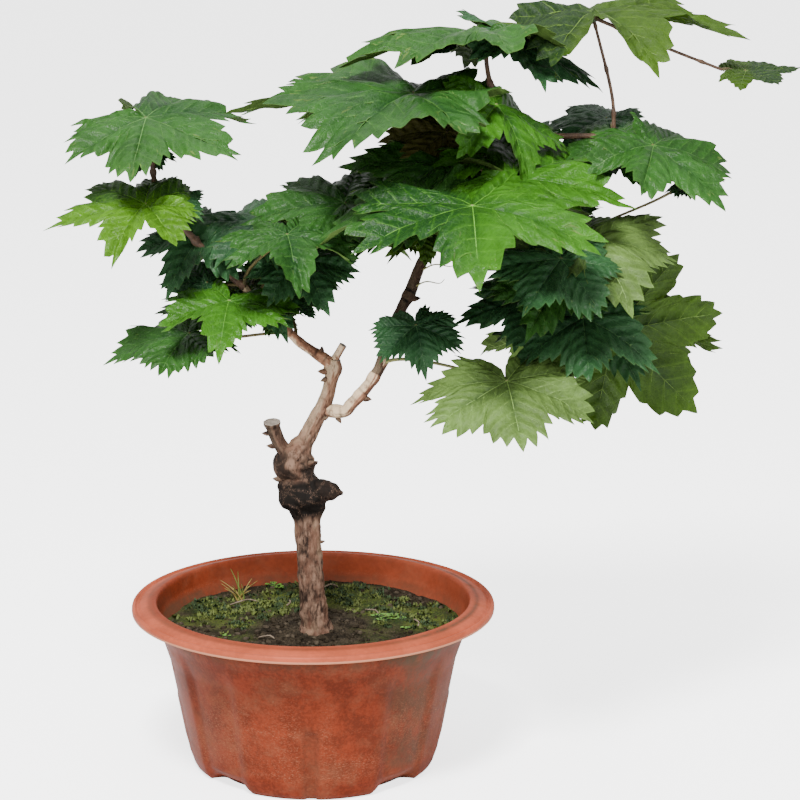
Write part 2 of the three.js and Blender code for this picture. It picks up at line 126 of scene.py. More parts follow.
# Leaves of each mass: (place in the mass's box, reach in mm, heading, (turn, tilt) of the lean,
# tint, changes to the shape and to the painted shade). The first leaf's spot also seeds the small leaves inside.
LEAVES = {
    "crown_left_top": [
        ((0.40, 0.40, 0.77), 78, -34, (-84, 18), "mid", {"wide": 1.08, "dark": -0.22}),
        ((0.42, 0.52, 0.29), 22, -120, (-90, 20), "deep", {}),
        ((0.45, 0.70, 0.59), 54, 95, (90, 6), "mid", {}),
    ],
    "crown_left_tip": [
        ((0.58, 0.53, 0.68), 66, -170, (-100, 22), "lime", {"fold": 0.08, "wide": 0.9, "dark": 0.42}),
        ((0.80, 0.75, 0.72), 24, -30, (-80, 24), "deep", {}),
    ],
    "crown_left_inner": [
        ((0.48, 0.72, 0.55), 62, 180, (-90, 14), "deep", {}),
        ((0.80, 0.59, 0.80), 70, 186, (-90, 16), "mid", {}),
        ((0.76, 0.72, 0.72), 52, -20, (-95, 20), "deep", {}),
        ((0.59, 0.28, 0.59), 52, -80, (-90, 16), "mid", {"wave": 0.09, "wide": 1.15}),
        ((0.62, 0.55, 0.20), 48, -60, (-90, 26), "deep", {}),
        ((0.25, 0.72, 0.44), 56, -120, (-100, 28), "deep", {}),
    ],
    "crown_left_low": [
        ((0.55, 0.29, 0.71), 53, -95, (-90, 14), "bright", {"wide": 1.15}),
        ((0.34, 0.44, 0.26), 58, -168, (-95, 14), "mid", {}),
        ((0.43, 0.44, 0.83), 32, 178, (-90, 35), "deep", {}),
        ((0.69, 0.49, 0.71), 48, -5, (-80, 20), "deep", {}),
        ((0.50, 0.75, 0.39), 56, 130, (100, 12), "mid", {}),
    ],
    "crown_top_left": [
        ((0.72, 0.35, 0.78), 124, -174, (-88, 4), "mid", {"droop": 0.05, "wide": 0.92, "deep": 0.74}),
        ((0.62, 0.70, 0.50), 80, 100, (90, 6), "mid", {}),
    ],
    "crown_top": [
        ((0.56, 0.42, 0.94), 106, 176, (90, 7), "mid", {"droop": 0.03, "wide": 0.78, "wave": 0.05}),
        ((0.66, 0.53, 0.84), 70, -4, (-12, 22), "deep", {"fold": -0.08}),
        ((0.55, 0.69, 0.65), 56, 100, (90, 6), "deep", {}),
    ],
    "crown_right_top": [
        (
            (0.34, 0.56, 0.76), 104, -10, (-90, 2), "olive",
            {"wide": 0.86, "tooth": 0.12, "droop": 0.12, "dark": 0.60, "dark_turn": 180},
        )
    ],
    "crown_right_tip": [
        (
            (0.53, 0.49, 0.50), 38, 0, (-90, 8), "olive",
            {"wave": 0.02, "droop": 0.03, "tooth": 0.07, "dark": 0.60, "dark_turn": 0},
        )
    ],
    "crown_upper": [
        ((0.57, 0.40, 0.66), 62, -52, (-35, 34), "bright", {"fold": -0.1}),
        ((0.66, 0.93, 0.12), 62, -10, (-90, 22), "deep", {}),
        ((0.20, 0.72, 0.32), 46, 176, (-85, 30), "russet", {"wave": 0.08}),
        ((0.64, 0.55, 0.20), 68, 160, (-90, 16), "bright", {}),
    ],
    "crown_right_upper": [
        ((0.40, 0.42, 0.60), 54, -178, (-95, 22), "mid", {}),
        ((0.35, 0.72, 0.84), 50, 170, (-95, 10), "deep", {}),
        ((0.57, 0.31, 0.69), 69, -40, (-50, 26), "mid", {}),
        ((0.55, 0.72, 0.55), 58, 70, (90, 8), "mid", {}),
    ],
    "crown_front": [
        (
            (0.44, 0.49, 0.62), 82, -88, (-92, 15), "bright",
            {"wide": 1.28, "deep": 0.56, "fold": 0.05, "dark": 0.5, "blunt": 1.9},
        ),
        ((0.60, 0.74, 0.84), 80, -14, (-88, 20), "bright", {"wave": 0.08}),
        ((0.28, 0.66, 0.60), 78, -168, (-92, 18), "mid", {"wave": 0.07}),
    ],
    "crown_centre": [
        ((0.74, 0.28, 0.86), 72, 172, (-90, 18), "mid", {}),
        ((0.72, 0.51, 0.71), 60, -130, (-90, 24), "mid", {}),
        ((0.58, 0.40, 0.49), 78, 178, (-90, 20), "mid", {}),
        ((0.67, 0.68, 0.25), 60, 110, (90, 14), "deep", {}),
    ],
    "crown_right_middle": [
        ((0.55, 0.70, 0.80), 66, -62, (-75, 22), "pale", {"wide": 1.25, "dark": 0.4, "deep": 0.72}),
        ((0.36, 0.42, 0.62), 58, -120, (-88, 30), "deep", {}),
    ],
    "crown_right_inner": [
        ((0.38, 0.45, 0.81), 56, -165, (-95, 28), "deep", {}),
        ((0.55, 0.40, 1.02), 60, -118, (-90, 26), "mid", {}),
        ((0.66, 0.27, 0.70), 62, -88, (-90, 30), "deep", {}),
        ((0.79, 0.66, 0.52), 58, -60, (-90, 30), "deep", {}),
        ((0.47, 0.74, 0.39), 58, 110, (100, 30), "deep", {}),
    ],
    "crown_right_front": [
        ((0.48, 0.65, 0.73), 60, -80, (-90, 28), "pale", {"wide": 1.28, "fold": -0.06, "blunt": 1.8, "deep": 0.70})
    ],
    "crown_right_low": [
        ((0.42, 0.13, 0.61), 88, 22, (100, 78), "olive", {"droop": 0.05, "deep": 0.60, "tooth": 0.08, "blunt": 1.8}),
        ((0.58, 0.65, 0.52), 66, 50, (80, 40), "olive", {}),
    ],
    "crown_middle": [
        (
            (0.53, 0.59, 0.80), 34, -74, (-85, 38), "deep",
            {"wave": 0.06, "blunt": 1.6, "tooth": 0.16, "deep": 0.88, "wide": 1.1},
        )
    ],
    "crown_back_left": [
        ((0.35, 0.35, 0.41), 72, 115, (95, 12), "mid", {}),
        ((0.70, 0.35, 0.81), 78, 95, (90, 12), "deep", {}),
    ],
    "crown_back": [
        ((0.31, 0.40, 0.81), 88, 85, (90, 10), "mid", {}),
        ((0.64, 0.34, 0.61), 88, 55, (80, 14), "mid", {}),
    ],
    "crown_back_right": [
        ((0.36, 0.38, 0.85), 82, 40, (70, 22), "mid", {}),
        ((0.53, 0.52, 0.48), 86, 80, (90, 30), "bright", {}),
    ],
}
# The masses with depth enough for small leaves under their big ones.
DEEP_MASSES = (
    "crown_left_inner", "crown_left_low", "crown_upper", "crown_right_upper", "crown_front", "crown_centre",
    "crown_right_inner", "crown_back_left", "crown_back", "crown_back_right",
)
MM = 0.001


def spot(node, shares):
    """The point at these shares of a node's box."""
    low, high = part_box(node)
    return Vector([a + s * (b - a) for a, b, s in zip(low, high, shares)])


FOOT = spot("trunk", TRUNK_ROWS[0][:3])
SOIL_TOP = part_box("soil")[1].z
SLOT_OF = {s["node"]: s["material_slot"] for s in frame["record"]["subparts"]}


def stem_rows(node, rows):
    return [(spot(node, row[:3]), row[3] * MM) for row in rows]


# ---------------------------------------------------------------- sizes and colours
def colour(name, description, value):
    return bpy.props.FloatVectorProperty(
        name=name, description=description, subtype="COLOR", size=4, min=0, max=1, default=(*value, 1)
    )


def number(name, description, value, **limits):
    return bpy.props.FloatProperty(name=name, description=description, default=value, **limits)


def length(name, description, value):
    return number(name, description, value, min=0, unit="LENGTH")


def share(name, description, value):
    return number(name, description, value, min=0, soft_max=1, subtype="FACTOR")


def count(name, description, value):
    return bpy.props.IntProperty(name=name, description=description, default=value, min=0)


class VinePotSettings(bpy.types.PropertyGroup):
    """Sizes and colours of the pot"""

    wall: length("Wall", "Thickness of the pot's side", 0.0025)
    flute: length("Flute depth", "Depth of the broad flutes above the foot notches", 0.0023)
    groove: length("Groove depth", "Depth of the narrow grooves", 0.0024)
    notch: length("Notch height", "Rise of the notches in the foot", 0.0065)
    clay: colour("Clay", "Main colour of the plastic", (0.166, 0.0262, 0.0098))
    # The rim colour is also painted on the inside wall, as painted light.
    rim: colour("Rim", "Sun-bleached colour of the rim", (0.33, 0.070, 0.034))
    # The dust colour, made much paler, also paints the highlight along the lip.
    dust: colour("Dust", "Dry dust and lime bloom", (0.195, 0.072, 0.038))
    # The grime colour also paints the shadow under the rim and the shade in the narrow grooves.
    grime: colour("Grime", "Splashed soil and algae", (0.062, 0.038, 0.022))


class VineSoilSettings(bpy.types.PropertyGroup):
    """Sizes and colours of the soil and what grows on it"""

    clods: count("Clods", "Small lumps and grit on the soil", 900)
    moss: count("Moss tufts", "Tufts of moss", 210)
    soil: colour("Soil", "Damp soil", (0.018, 0.0135, 0.0085))
    dry: colour("Dry crumbs", "Dry lumps and grit", (0.070, 0.054, 0.037))
    green: colour("Moss", "Moss in the light", (0.075, 0.095, 0.016))
    shade: colour("Moss shade", "Moss in the shade", (0.016, 0.030, 0.008))
    weed: colour("Seedling", "Leaves of the seedlings", (0.10, 0.24, 0.025))
    straw: colour("Straw", "Dry grass", (0.27, 0.19, 0.045))


class VineWoodSettings(bpy.types.PropertyGroup):
    """Relief and colours of the bark"""

    relief: share("Bark relief", "Height of the bark's ridges, as a share of the radius", 0.13)
    ridge: colour("Bark ridge", "Dry ridges of old bark", (0.165, 0.100, 0.069))
    # The crevice colour is painted shade in the hollows of the relief.
    crevice: colour("Bark crevice", "Depths between the ridges", (0.020, 0.012, 0.009))
    young: colour("Young bark", "Tan bark of the boughs", (0.27, 0.135, 0.080))
    # The graft's black also paints the upper bough dark, as painted shade under the crown.
    char: colour("Graft", "Black callus of the graft", (0.0075, 0.006, 0.005))
    cut: colour("Cut wood", "Weathered cut ends", (0.24, 0.20, 0.165))
    shoot: colour("Shoot", "Brown one-year canes", (0.11, 0.06, 0.035))
    stalk: colour("Stalk", "Leaf stalks", (0.17, 0.17, 0.06))


class VineLeafSettings(bpy.types.PropertyGroup):
    """Relief and colours of the leaves"""

    thickness: length("Thickness", "Thickness of a leaf blade", 0.0005)
    quilt: share("Quilting", "Rise of the blade between its veins, as a share of its reach", 0.055)
    small: count("Small leaves", "Small leaves inside each mass", 2)
    deep: colour("Deep", "Shaded blue-green leaves", (0.018, 0.058, 0.020))
    mid: colour("Middle", "Full-grown green leaves", (0.018, 0.064, 0.010))
    bright: colour("Bright", "Sunlit green leaves", (0.026, 0.096, 0.006))
    # The lime tint paints a yellow-green leaf with the glow of light through it, as painted light.
    lime: colour("Lime", "Young yellow-green leaves", (0.052, 0.140, 0.007))
    olive: colour("Olive", "Leaves seen against the light", (0.027, 0.060, 0.004))
    russet: colour("Russet", "Old leaves turning brown", (0.055, 0.052, 0.012))
    pale: colour("Pale", "Pale grey-green leaves", (0.076, 0.132, 0.030))
    under: colour("Underside", "Undersides of the leaves", (0.060, 0.108, 0.022))


class VineStageSettings(bpy.types.PropertyGroup):
    """Camera and light"""

    lens: number("Lens", "Focal length", 139.4, min=1, unit="CAMERA")
    pitch: number("Pitch", "How far the camera looks down", math.radians(13.6), subtype="ANGLE")
    aside: length("Aside", "How far the camera stands to the right of the trunk", 0.067)
    back: length("Distance", "How far the camera stands in front of the trunk", 2.291)
    up: length("Height", "How high the camera stands", 0.843)
    key: number("Key light", "Power of the main light", 185, min=0, unit="POWER")
    fill: number("Fill light", "Power of the fill light", 18, min=0, unit="POWER")
    glow: number("Floor glow", "How much whiter the floor looks than the light on it makes it", 2.6, min=0)
    sky: number("Sky", "Strength of the even light all round", 0.9, min=0)


# ---------------------------------------------------------------- numbers to meshes
def mesh_object(name, points, quads=(), tris=(), materials=(), slots=None, tones=None):
    """An object from arrays.

    slots gives each face's material, quads first. tones are named values per point.
    """
    quads = np.asarray(quads, np.int32).reshape(-1, 4)
    tris = np.asarray(tris, np.int32).reshape(-1, 3)
    mesh = bpy.data.meshes.new(name)
    mesh.vertices.add(len(points))
    mesh.vertices.foreach_set("co", np.asarray(points, np.float32).ravel())
    loops = np.concatenate([quads.ravel(), tris.ravel()])
    mesh.loops.add(len(loops))
    mesh.loops.foreach_set("vertex_index", loops)
    sizes = np.concatenate([np.full(len(quads), 4), np.full(len(tris), 3)])
    mesh.polygons.add(len(sizes))
    mesh.polygons.foreach_set("loop_start", np.concatenate([[0], np.cumsum(sizes)[:-1]]).astype(np.int32))
    for material in materials:
        mesh.materials.append(material)
    if slots is not None:
        mesh.polygons.foreach_set("material_index", np.asarray(slots, np.int32))
    for key, values in (tones or {}).items():
        layer = mesh.attributes.new(key, "FLOAT", "POINT")
        layer.data.foreach_set("value", np.asarray(values, np.float32))
    mesh.update(calc_edges=True)
    mesh.validate()
    mesh.shade_smooth()
    piece = bpy.data.objects.new(name, mesh)
    bpy.context.scene.collection.objects.link(piece)
    return piece


class Bag:
    """Gathers points, quads and triangles, with a material and named values for each."""

    def __init__(self, *names):
        self.points, self.quads, self.tris = [], [], []
        self.quad_slots, self.tri_slots = [], []
        self.names = names
        self.tones = {n: [] for n in names}
        self.total = 0

    def add(self, points, quads=(), tris=(), slot=0, quad_slots=None, **tones):
        points = np.asarray(points, float).reshape(-1, 3)
        quads = np.asarray(quads, int).reshape(-1, 4)
        tris = np.asarray(tris, int).reshape(-1, 3)
        self.points.append(points)
        self.quads.append(quads + self.total)
        self.tris.append(tris + self.total)
        self.quad_slots.append(np.full(len(quads), slot) if quad_slots is None else np.asarray(quad_slots))
        self.tri_slots.append(np.full(len(tris), slot))
        for n in self.names:
            self.tones[n].append(np.broadcast_to(tones.get(n, 0.0), len(points)))
        self.total += len(points)

    def object(self, name, materials):
        return mesh_object(
            name, np.concatenate(self.points), np.concatenate(self.quads), np.concatenate(self.tris), materials,
            np.concatenate(self.quad_slots + self.tri_slots), {n: np.concatenate(v) for n, v in self.tones.items()},
        )


def grid_quads(rows, columns, wrap=True):
    """Quads of a grid of points, rows by columns, closed round its columns if wrap is set."""
    r, c = np.meshgrid(np.arange(rows - 1), np.arange(columns if wrap else columns - 1), indexing="ij")
    n = (c + 1) % columns
    corners = [r * columns + c, r * columns + n, (r + 1) * columns + n, (r + 1) * columns + c]
    return np.stack(corners, -1).reshape(-1, 4)


def noise(u, v, cells, seed, wrap=None):
    """Smooth value noise from 0 to 1. wrap is the whole number of cells after which u repeats."""
    u, v = np.asarray(u, float) * cells[0], np.asarray(v, float) * cells[1]
    iu, iv = np.floor(u).astype(int), np.floor(v).astype(int)
    fu, fv = u - iu, v - iv
    fu, fv = fu * fu * (3 - 2 * fu), fv * fv * (3 - 2 * fv)

    def corner(a, b):
        if wrap:
            a = a % wrap
        h = np.sin(a * 127.1 + b * 311.7 + seed * 74.7) * 43758.5453
        return h - np.floor(h)

    low = corner(iu, iv) * (1 - fu) + corner(iu + 1, iv) * fu
    high = corner(iu, iv + 1) * (1 - fu) + corner(iu + 1, iv + 1) * fu
    return low * (1 - fv) + high * fv


def smooth(a, b, x):
    """A smooth step from 0 at a to 1 at b."""
    t = np.clip((np.asarray(x, float) - a) / (b - a), 0, 1)
    return t * t * (3 - 2 * t)


def through(rows, step):
    """Points, radii and directions every step along a smooth line through (point, radius) rows."""
    spots = np.array([p for p, _ in rows], float)
    radii = np.array([r for _, r in rows], float)
    ends = np.vstack([2 * spots[0] - spots[1], spots, 2 * spots[-1] - spots[-2]])
    out, widths = [], []
    for k in range(len(spots) - 1):
        p0, p1, p2, p3 = ends[k : k + 4]
        n = max(2, int(np.linalg.norm(p2 - p1) / step))
        t = np.arange(n)[:, None] / n
        bend, twist = 2 * p0 - 5 * p1 + 4 * p2 - p3, 3 * p1 - p0 - 3 * p2 + p3
        out.append(0.5 * (2 * p1 + (p2 - p0) * t + bend * t**2 + twist * t**3))
        s = (t * t * (3 - 2 * t))[:, 0]
        widths.append(radii[k] * (1 - s) + radii[k + 1] * s)
    out.append(spots[-1:])
    widths.append(radii[-1:])
    line, widths = np.vstack(out), np.concatenate(widths)
    ways = np.gradient(line, axis=0)
    ways /= np.linalg.norm(ways, axis=1)[:, None] + 1e-12
    return line, widths, ways


def tube(bag, line, radii, ways, sides, bulge=None, slot=0, end_slot=None, start=False, **tones):
    """Sweeps a tube along a line and closes its end, and its start too if asked.

    bulge(turn, along) gives the relief as a share of the radius. tones are numbers, or functions
    of turn, along and relief. Gives the skin as rings of points.
    """
    n = len(line)
    normal = np.cross(ways[0], [0.0, 1.0, 0.2])
    normal /= np.linalg.norm(normal)
    normals = []
    for w in ways:
        normal = normal - w * (normal @ w)
        normal /= np.linalg.norm(normal)
        normals.append(normal)
    normals = np.array(normals)
    sideways = np.cross(ways, normals)
    turn = np.arange(sides) / sides
    along = np.concatenate([[0], np.cumsum(np.linalg.norm(np.diff(line, axis=0), axis=1))])
    u, v = np.broadcast_to(turn, (n, sides)), np.broadcast_to(along[:, None], (n, sides))
    lift = bulge(u, v) if bulge else np.zeros((n, sides))
    r = radii[:, None] * (1 + lift)
    cos, sin = (f(2 * math.pi * turn)[None, :, None] for f in (np.cos, np.sin))
    skin = line[:, None] + r[..., None] * (normals[:, None] * cos + sideways[:, None] * sin)
    flat = {name: (f(u, v, lift) if callable(f) else np.full((n, sides), float(f))) for name, f in tones.items()}
    bag.add(skin.reshape(-1, 3), grid_quads(n, sides), slot=slot, **{name: f.ravel() for name, f in flat.items()})
    for k, order in ((n - 1, 1), (0, -1)) if start else ((n - 1, 1),):
        rings = [line[k] + (skin[k] - line[k]) * s for s in (1, 0.93, 0.6, 0.3)]
        rings[1:] = [ring + ways[k] * order * radii[k] * 0.04 for ring in rings[1:]]
        points = np.vstack(rings + [line[k][None] + ways[k] * order * radii[k] * 0.02])
        quads = grid_quads(len(rings), sides)
        last = (len(rings) - 1) * sides
        fan = np.array([[last + j, last + (j + 1) % sides, len(points) - 1] for j in range(sides)])
        if order < 0:
            quads, fan = quads[:, ::-1], fan[:, ::-1]
        means = {name: f[k].mean() for name, f in flat.items()}
        bag.add(points, quads, fan, slot=slot if end_slot is None else end_slot, **means)
    return skin


# ---------------------------------------------------------------- shader groups and materials
def feed(tree, sockets, values):
    """Sets sockets by name, with a link where the value is a socket and as a plain value where not."""
    for key, value in values.items():
        if isinstance(value, bpy.types.NodeSocket):
            tree.links.new(value, sockets[key])
        else:
            sockets[key].default_value = value


class Shader:
    """Short ways to lay out nodes in one tree."""

    def __init__(self, tree):
        self.tree = tree

    def node(self, kind, inputs=None, **settings):
        made = self.tree.nodes.new(kind)
        for key, value in settings.items():
            setattr(made, key, value)
        feed(self.tree, made.inputs, inputs or {})
        return made

    def math(self, operation, a, b=0.5, clamp=False):
        return self.node("ShaderNodeMath", {0: a, 1: b}, operation=operation, use_clamp=clamp).outputs[0]

    def mix(self, factor, a, b):
        return self.node("ShaderNodeMix", {0: factor, 6: a, 7: b}, data_type="RGBA").outputs[2]

    def ramp(self, value, low, high, at_low, at_high):
        """A smooth step from at_low to at_high as the value goes from low to high."""
        made = self.node("ShaderNodeMapRange", {0: value, 1: low, 2: high, 3: at_low, 4: at_high})
        made.interpolation_type = "SMOOTHSTEP"
        return made.outputs[0]

    def coordinates(self, scale=(1, 1, 1)):
        where = self.node("ShaderNodeTexCoord").outputs["Object"]
        return self.node("ShaderNodeMapping", {"Vector": where, "Scale": scale}).outputs[0]

    def noise(self, scale, detail, rough, at=None):
        inputs = {"Scale": scale, "Detail": detail, "Roughness": rough}
        if at is not None:
            inputs["Vector"] = at
        return self.node("ShaderNodeTexNoise", inputs).outputs["Fac"]

    def tone(self, name):
        return self.node("ShaderNodeAttribute", attribute_name=name).outputs["Fac"]

    def facing(self):
        """The way that the surface faces, as X, Y and Z."""
        normal = self.node("ShaderNodeNewGeometry").outputs["Normal"]
        return self.node("ShaderNodeSeparateXYZ", {0: normal}).outputs

    def place(self, group, **inputs):
        return self.node("ShaderNodeGroup", inputs, node_tree=group)


def shared_group(inputs, outputs):
    """Makes a function that lays out nodes into one that builds its shader group once.

    inputs gives each number or colour with its default, and outputs each name with its kind.
    """

    def wrap(lay_out):
        def group():
            name = lay_out.__name__
            if name in bpy.data.node_groups:
                return bpy.data.node_groups[name]
            tree = bpy.data.node_groups.new(name, "ShaderNodeTree")
            for label, default in inputs.items():
                kind = "NodeSocketFloat" if isinstance(default, float) else "NodeSocketColor"
                tree.interface.new_socket(label, in_out="INPUT", socket_type=kind).default_value = default
            for label, kind in outputs.items():
                tree.interface.new_socket(label, in_out="OUTPUT", socket_type="NodeSocket" + kind)
            s = Shader(tree)
            given = s.node("NodeGroupInput").outputs
            feed(tree, s.node("NodeGroupOutput").inputs, lay_out(s, given))
            return tree

        return group

    return wrap


GREY = (0.5, 0.5, 0.5, 1)


@shared_group(
    {"Light": GREY, "Dark": GREY, "Scale": 30.0, "Flecks": 0.3}, {"Color": "Color", "Value": "Float"}
)
def mottled(s, given):
    """Cloudy drift between two colours, with finer flecks over it."""
    where = s.coordinates()
    cloud = s.ramp(s.noise(given["Scale"], 5, 0.6, where), 0.3, 0.7, 0.0, 1.0)
    fleck = s.ramp(s.noise(s.math("MULTIPLY", given["Scale"], 9.0), 3, 0.6, where), 0.3, 0.75, -1.0, 1.0)
    value = s.math("ADD", cloud, s.math("MULTIPLY", fleck, given["Flecks"]), clamp=True)
    return {"Color": s.mix(value, given["Dark"], given["Light"]), "Value": value}


@shared_group(
    {"Coarse": 200.0, "Fine": 900.0, "Depth": 0.0003, "Strength": 0.5}, {"Normal": "Vector", "Height": "Float"}
)
def fine_relief(s, given):
    """Fine and coarse bumps as one normal."""
    where = s.coordinates()
    fine = s.math("MULTIPLY", s.noise(given["Fine"], 2, 0.5, where), 0.35)
    height = s.math("ADD", s.noise(given["Coarse"], 3, 0.5, where), fine)
    bump = s.node("ShaderNodeBump", {"Height": height, "Distance": given["Depth"], "Strength": given["Strength"]})
    return {"Normal": bump.outputs[0], "Height": height}


@shared_group({"Scale": 230.0}, {"Line": "Float"})
def line_net(s, given):
    """A net of fine lines, for the smallest veins and for cracks."""
    inputs = {"Vector": s.coordinates(), "Scale": given["Scale"]}
    cells = s.node("ShaderNodeTexVoronoi", inputs, feature="DISTANCE_TO_EDGE")
    return {"Line": s.ramp(cells.outputs["Distance"], 0.02, 0.16, 1.0, 0.0)}


@shared_group({"Scale": 18.0, "Amount": 0.5, "Up": 0.3}, {"Mask": "Float"})
def dust_cover(s, given):
    """A mask of dust and bloom: patchy, thicker where the surface faces up."""
    where = s.coordinates()
    patch = s.ramp(s.noise(given["Scale"], 6, 0.65, where), 0.45, 0.72, 0.0, 1.0)
    speck = s.ramp(s.noise(s.math("MULTIPLY", given["Scale"], 14.0), 2, 0.5, where), 0.55, 0.72, 0.0, 0.8)
    settled = s.math("MULTIPLY", s.facing()[2], given["Up"])
    laid = s.math("ADD", s.math("ADD", patch, s.math("MULTIPLY", patch, speck)), settled)
    return {"Mask": s.math("MULTIPLY", laid, given["Amount"], clamp=True)}


def material(name):
    """A new material with a Principled shader. Gives its node helper and shader."""
    made = bpy.data.materials.new(name)
    made.use_nodes = True
    return made, Shader(made.node_tree), made.node_tree.nodes["Principled BSDF"]


def finish_material(s, shader, base, rough, normal, specular):
    inputs = {"Base Color": base, "Roughness": rough, "Normal": normal, "Specular IOR Level": specular}
    feed(s.tree, shader.inputs, inputs)


def tinted(c, factor, shift=(0, 0, 0)):
    return (*[min(1, max(0, v * factor + d)) for v, d in zip(c[:3], shift)], 1)


def leaf_material(name, base, dark, gloss):
    """Blade colour: darker at the heart, lighter at the margin and side veins, with a net of fine veins."""
    made, s, shader = material(name)
    cloud = s.place(mottled(), Light=tinted(base, 1.25), Dark=tinted(base, 0.70), Scale=24.0, Flecks=0.2)
    tone = s.tone("tone")
    shaded = s.mix(s.ramp(tone, 0.0, 0.5, 1.0, 0.0), cloud.outputs["Color"], dark)
    lit = s.mix(s.ramp(tone, 0.5, 1.0, 0.0, 0.8), shaded, tinted(base, 1.7, (0.008, 0.01, 0.0)))
    beat = s.math("COSINE", s.math("MULTIPLY", s.tone("beat"), math.tau), 0.0)
    line = s.math("MULTIPLY", s.place(line_net(), Scale=230.0).outputs["Line"], 0.10)
    ribbed = s.mix(s.ramp(beat, 0.80, 1.0, 0.0, 0.15), lit, tinted(base, 2.0, (0.01, 0.01, 0.0)))
    netted = s.mix(line, ribbed, tinted(base, 1.9, (0.01, 0.01, 0.0)))
    grain = s.place(fine_relief(), Coarse=150.0, Fine=900.0, Depth=0.0006, Strength=0.4).outputs["Height"]
    height = s.math("ADD", s.math("MULTIPLY", beat, -0.30), s.math("MULTIPLY", grain, 0.75))
    height = s.math("SUBTRACT", height, line)
    bump = s.node("ShaderNodeBump", {"Height": height, "Distance": 0.0018, "Strength": 0.8})
    rough = s.ramp(grain, 0.4, 0.9, gloss, gloss + 0.18)
    finish_material(s, shader, netted, rough, bump.outputs[0], 0.12)
    return made


def plain_material(
    name, light, dark, rough=0.6, scale=60.0, flecks=0.4, depth=0.0003, coarse=300.0, specular=0.35
):
    made, s, shader = material(name)
    cloud = s.place(mottled(), Light=light, Dark=dark, Scale=scale, Flecks=flecks)
    bump = s.place(fine_relief(), Coarse=coarse, Fine=coarse * 4, Depth=depth, Strength=0.6)
    finish_material(s, shader, cloud.outputs["Color"], rough, bump.outputs["Normal"], specular)
    return made


def bark_material(settings):
    """Old bark: crevices painted dark as painted shade, dry ridges, tan young bark with painted light and shade by
    the way it faces, and the black, cracked graft, by named values; the graft's black also lays painted shade on the
    upper bough.
    """
    made, s, shader = material("vine_bark")

    def patches(scale, detail, rough, stretch, low, high, full):
        """A mask of patches, stretched along the stem."""
        return s.ramp(s.noise(scale, detail, rough, s.coordinates(stretch)), low, high, 0.0, full)

    fibres = s.noise(560.0, 6, 0.75, s.coordinates((1.0, 1.0, 0.28)))
    fibres = s.math("MULTIPLY", s.math("SUBTRACT", fibres, 0.5), 2.2)
    ridge = s.math("ADD", s.tone("ridge"), fibres, clamp=True)
    # Painted shade: the hollows of the relief are painted dark.
    old = s.mix(s.ramp(ridge, 0.08, 0.9, 0.0, 1.0), settings.crevice, settings.ridge)
    rusty = patches(75.0, 5, 0.7, (1, 1, 0.5), 0.46, 0.62, 0.65)
    old = s.mix(rusty, old, tinted(settings.ridge, 0.55, (0.030, 0.004, 0.0)))
    flaky = patches(95.0, 4, 0.6, (1, 1, 0.4), 0.52, 0.70, 0.55)
    old = s.mix(flaky, old, tinted(settings.ridge, 1.4, (0.0, 0.012, 0.0)))

    dark_tan = tinted(settings.young, 0.36, (0.01, 0, 0))
    # Painted shade in the hollows of the young bark too.
    tan = s.mix(s.ramp(ridge, 0.1, 0.7, 0.0, 1.0), dark_tan, tinted(settings.young, 1.0))
    facing = s.facing()
    # Painted light and shade: the sides facing up and left are paler, with cream peeling flakes, and the other sides
    # darker.
    sunny = s.math("ADD", s.math("MULTIPLY", facing[2], 0.09), s.math("MULTIPLY", facing[0], -0.27))
    flakes = s.noise(70.0, 5, 0.65, s.coordinates((1, 1, 0.5)))
    peeled_and_sunlit = s.ramp(s.math("ADD", flakes, sunny), 0.40, 0.60, 0.0, 0.95)
    tan = s.mix(peeled_and_sunlit, tan, tinted(settings.young, 1.5, (0.17, 0.23, 0.16)))
    tan = s.mix(s.ramp(sunny, -0.22, -0.02, 0.9, 0.0), tan, tinted(settings.young, 0.33, (0.01, 0, 0)))
    stained = patches(58.0, 5, 0.7, (1.3, 1.0, 0.8), 0.51, 0.63, 0.85)
    tan = s.mix(stained, tan, tinted(settings.young, 0.28, (0.015, 0, 0)))

    cracks = s.place(line_net(), Scale=85.0)
    worn = s.ramp(s.noise(90.0, 5, 0.7), 0.50, 0.66, 0.0, 0.5)
    ashen = s.math("MULTIPLY", cracks.outputs["Line"], worn)
    black = s.mix(ashen, settings.char, tinted(settings.ridge, 1.4))
    final = s.mix(s.tone("char"), s.mix(s.tone("young"), old, tan), black)
    bump = s.place(fine_relief(), Coarse=420.0, Fine=1500.0, Depth=0.0007, Strength=0.7)
    finish_material(s, shader, final, s.ramp(ridge, 0.0, 1.0, 0.72, 0.9), bump.outputs["Normal"], 0.06)
    return made


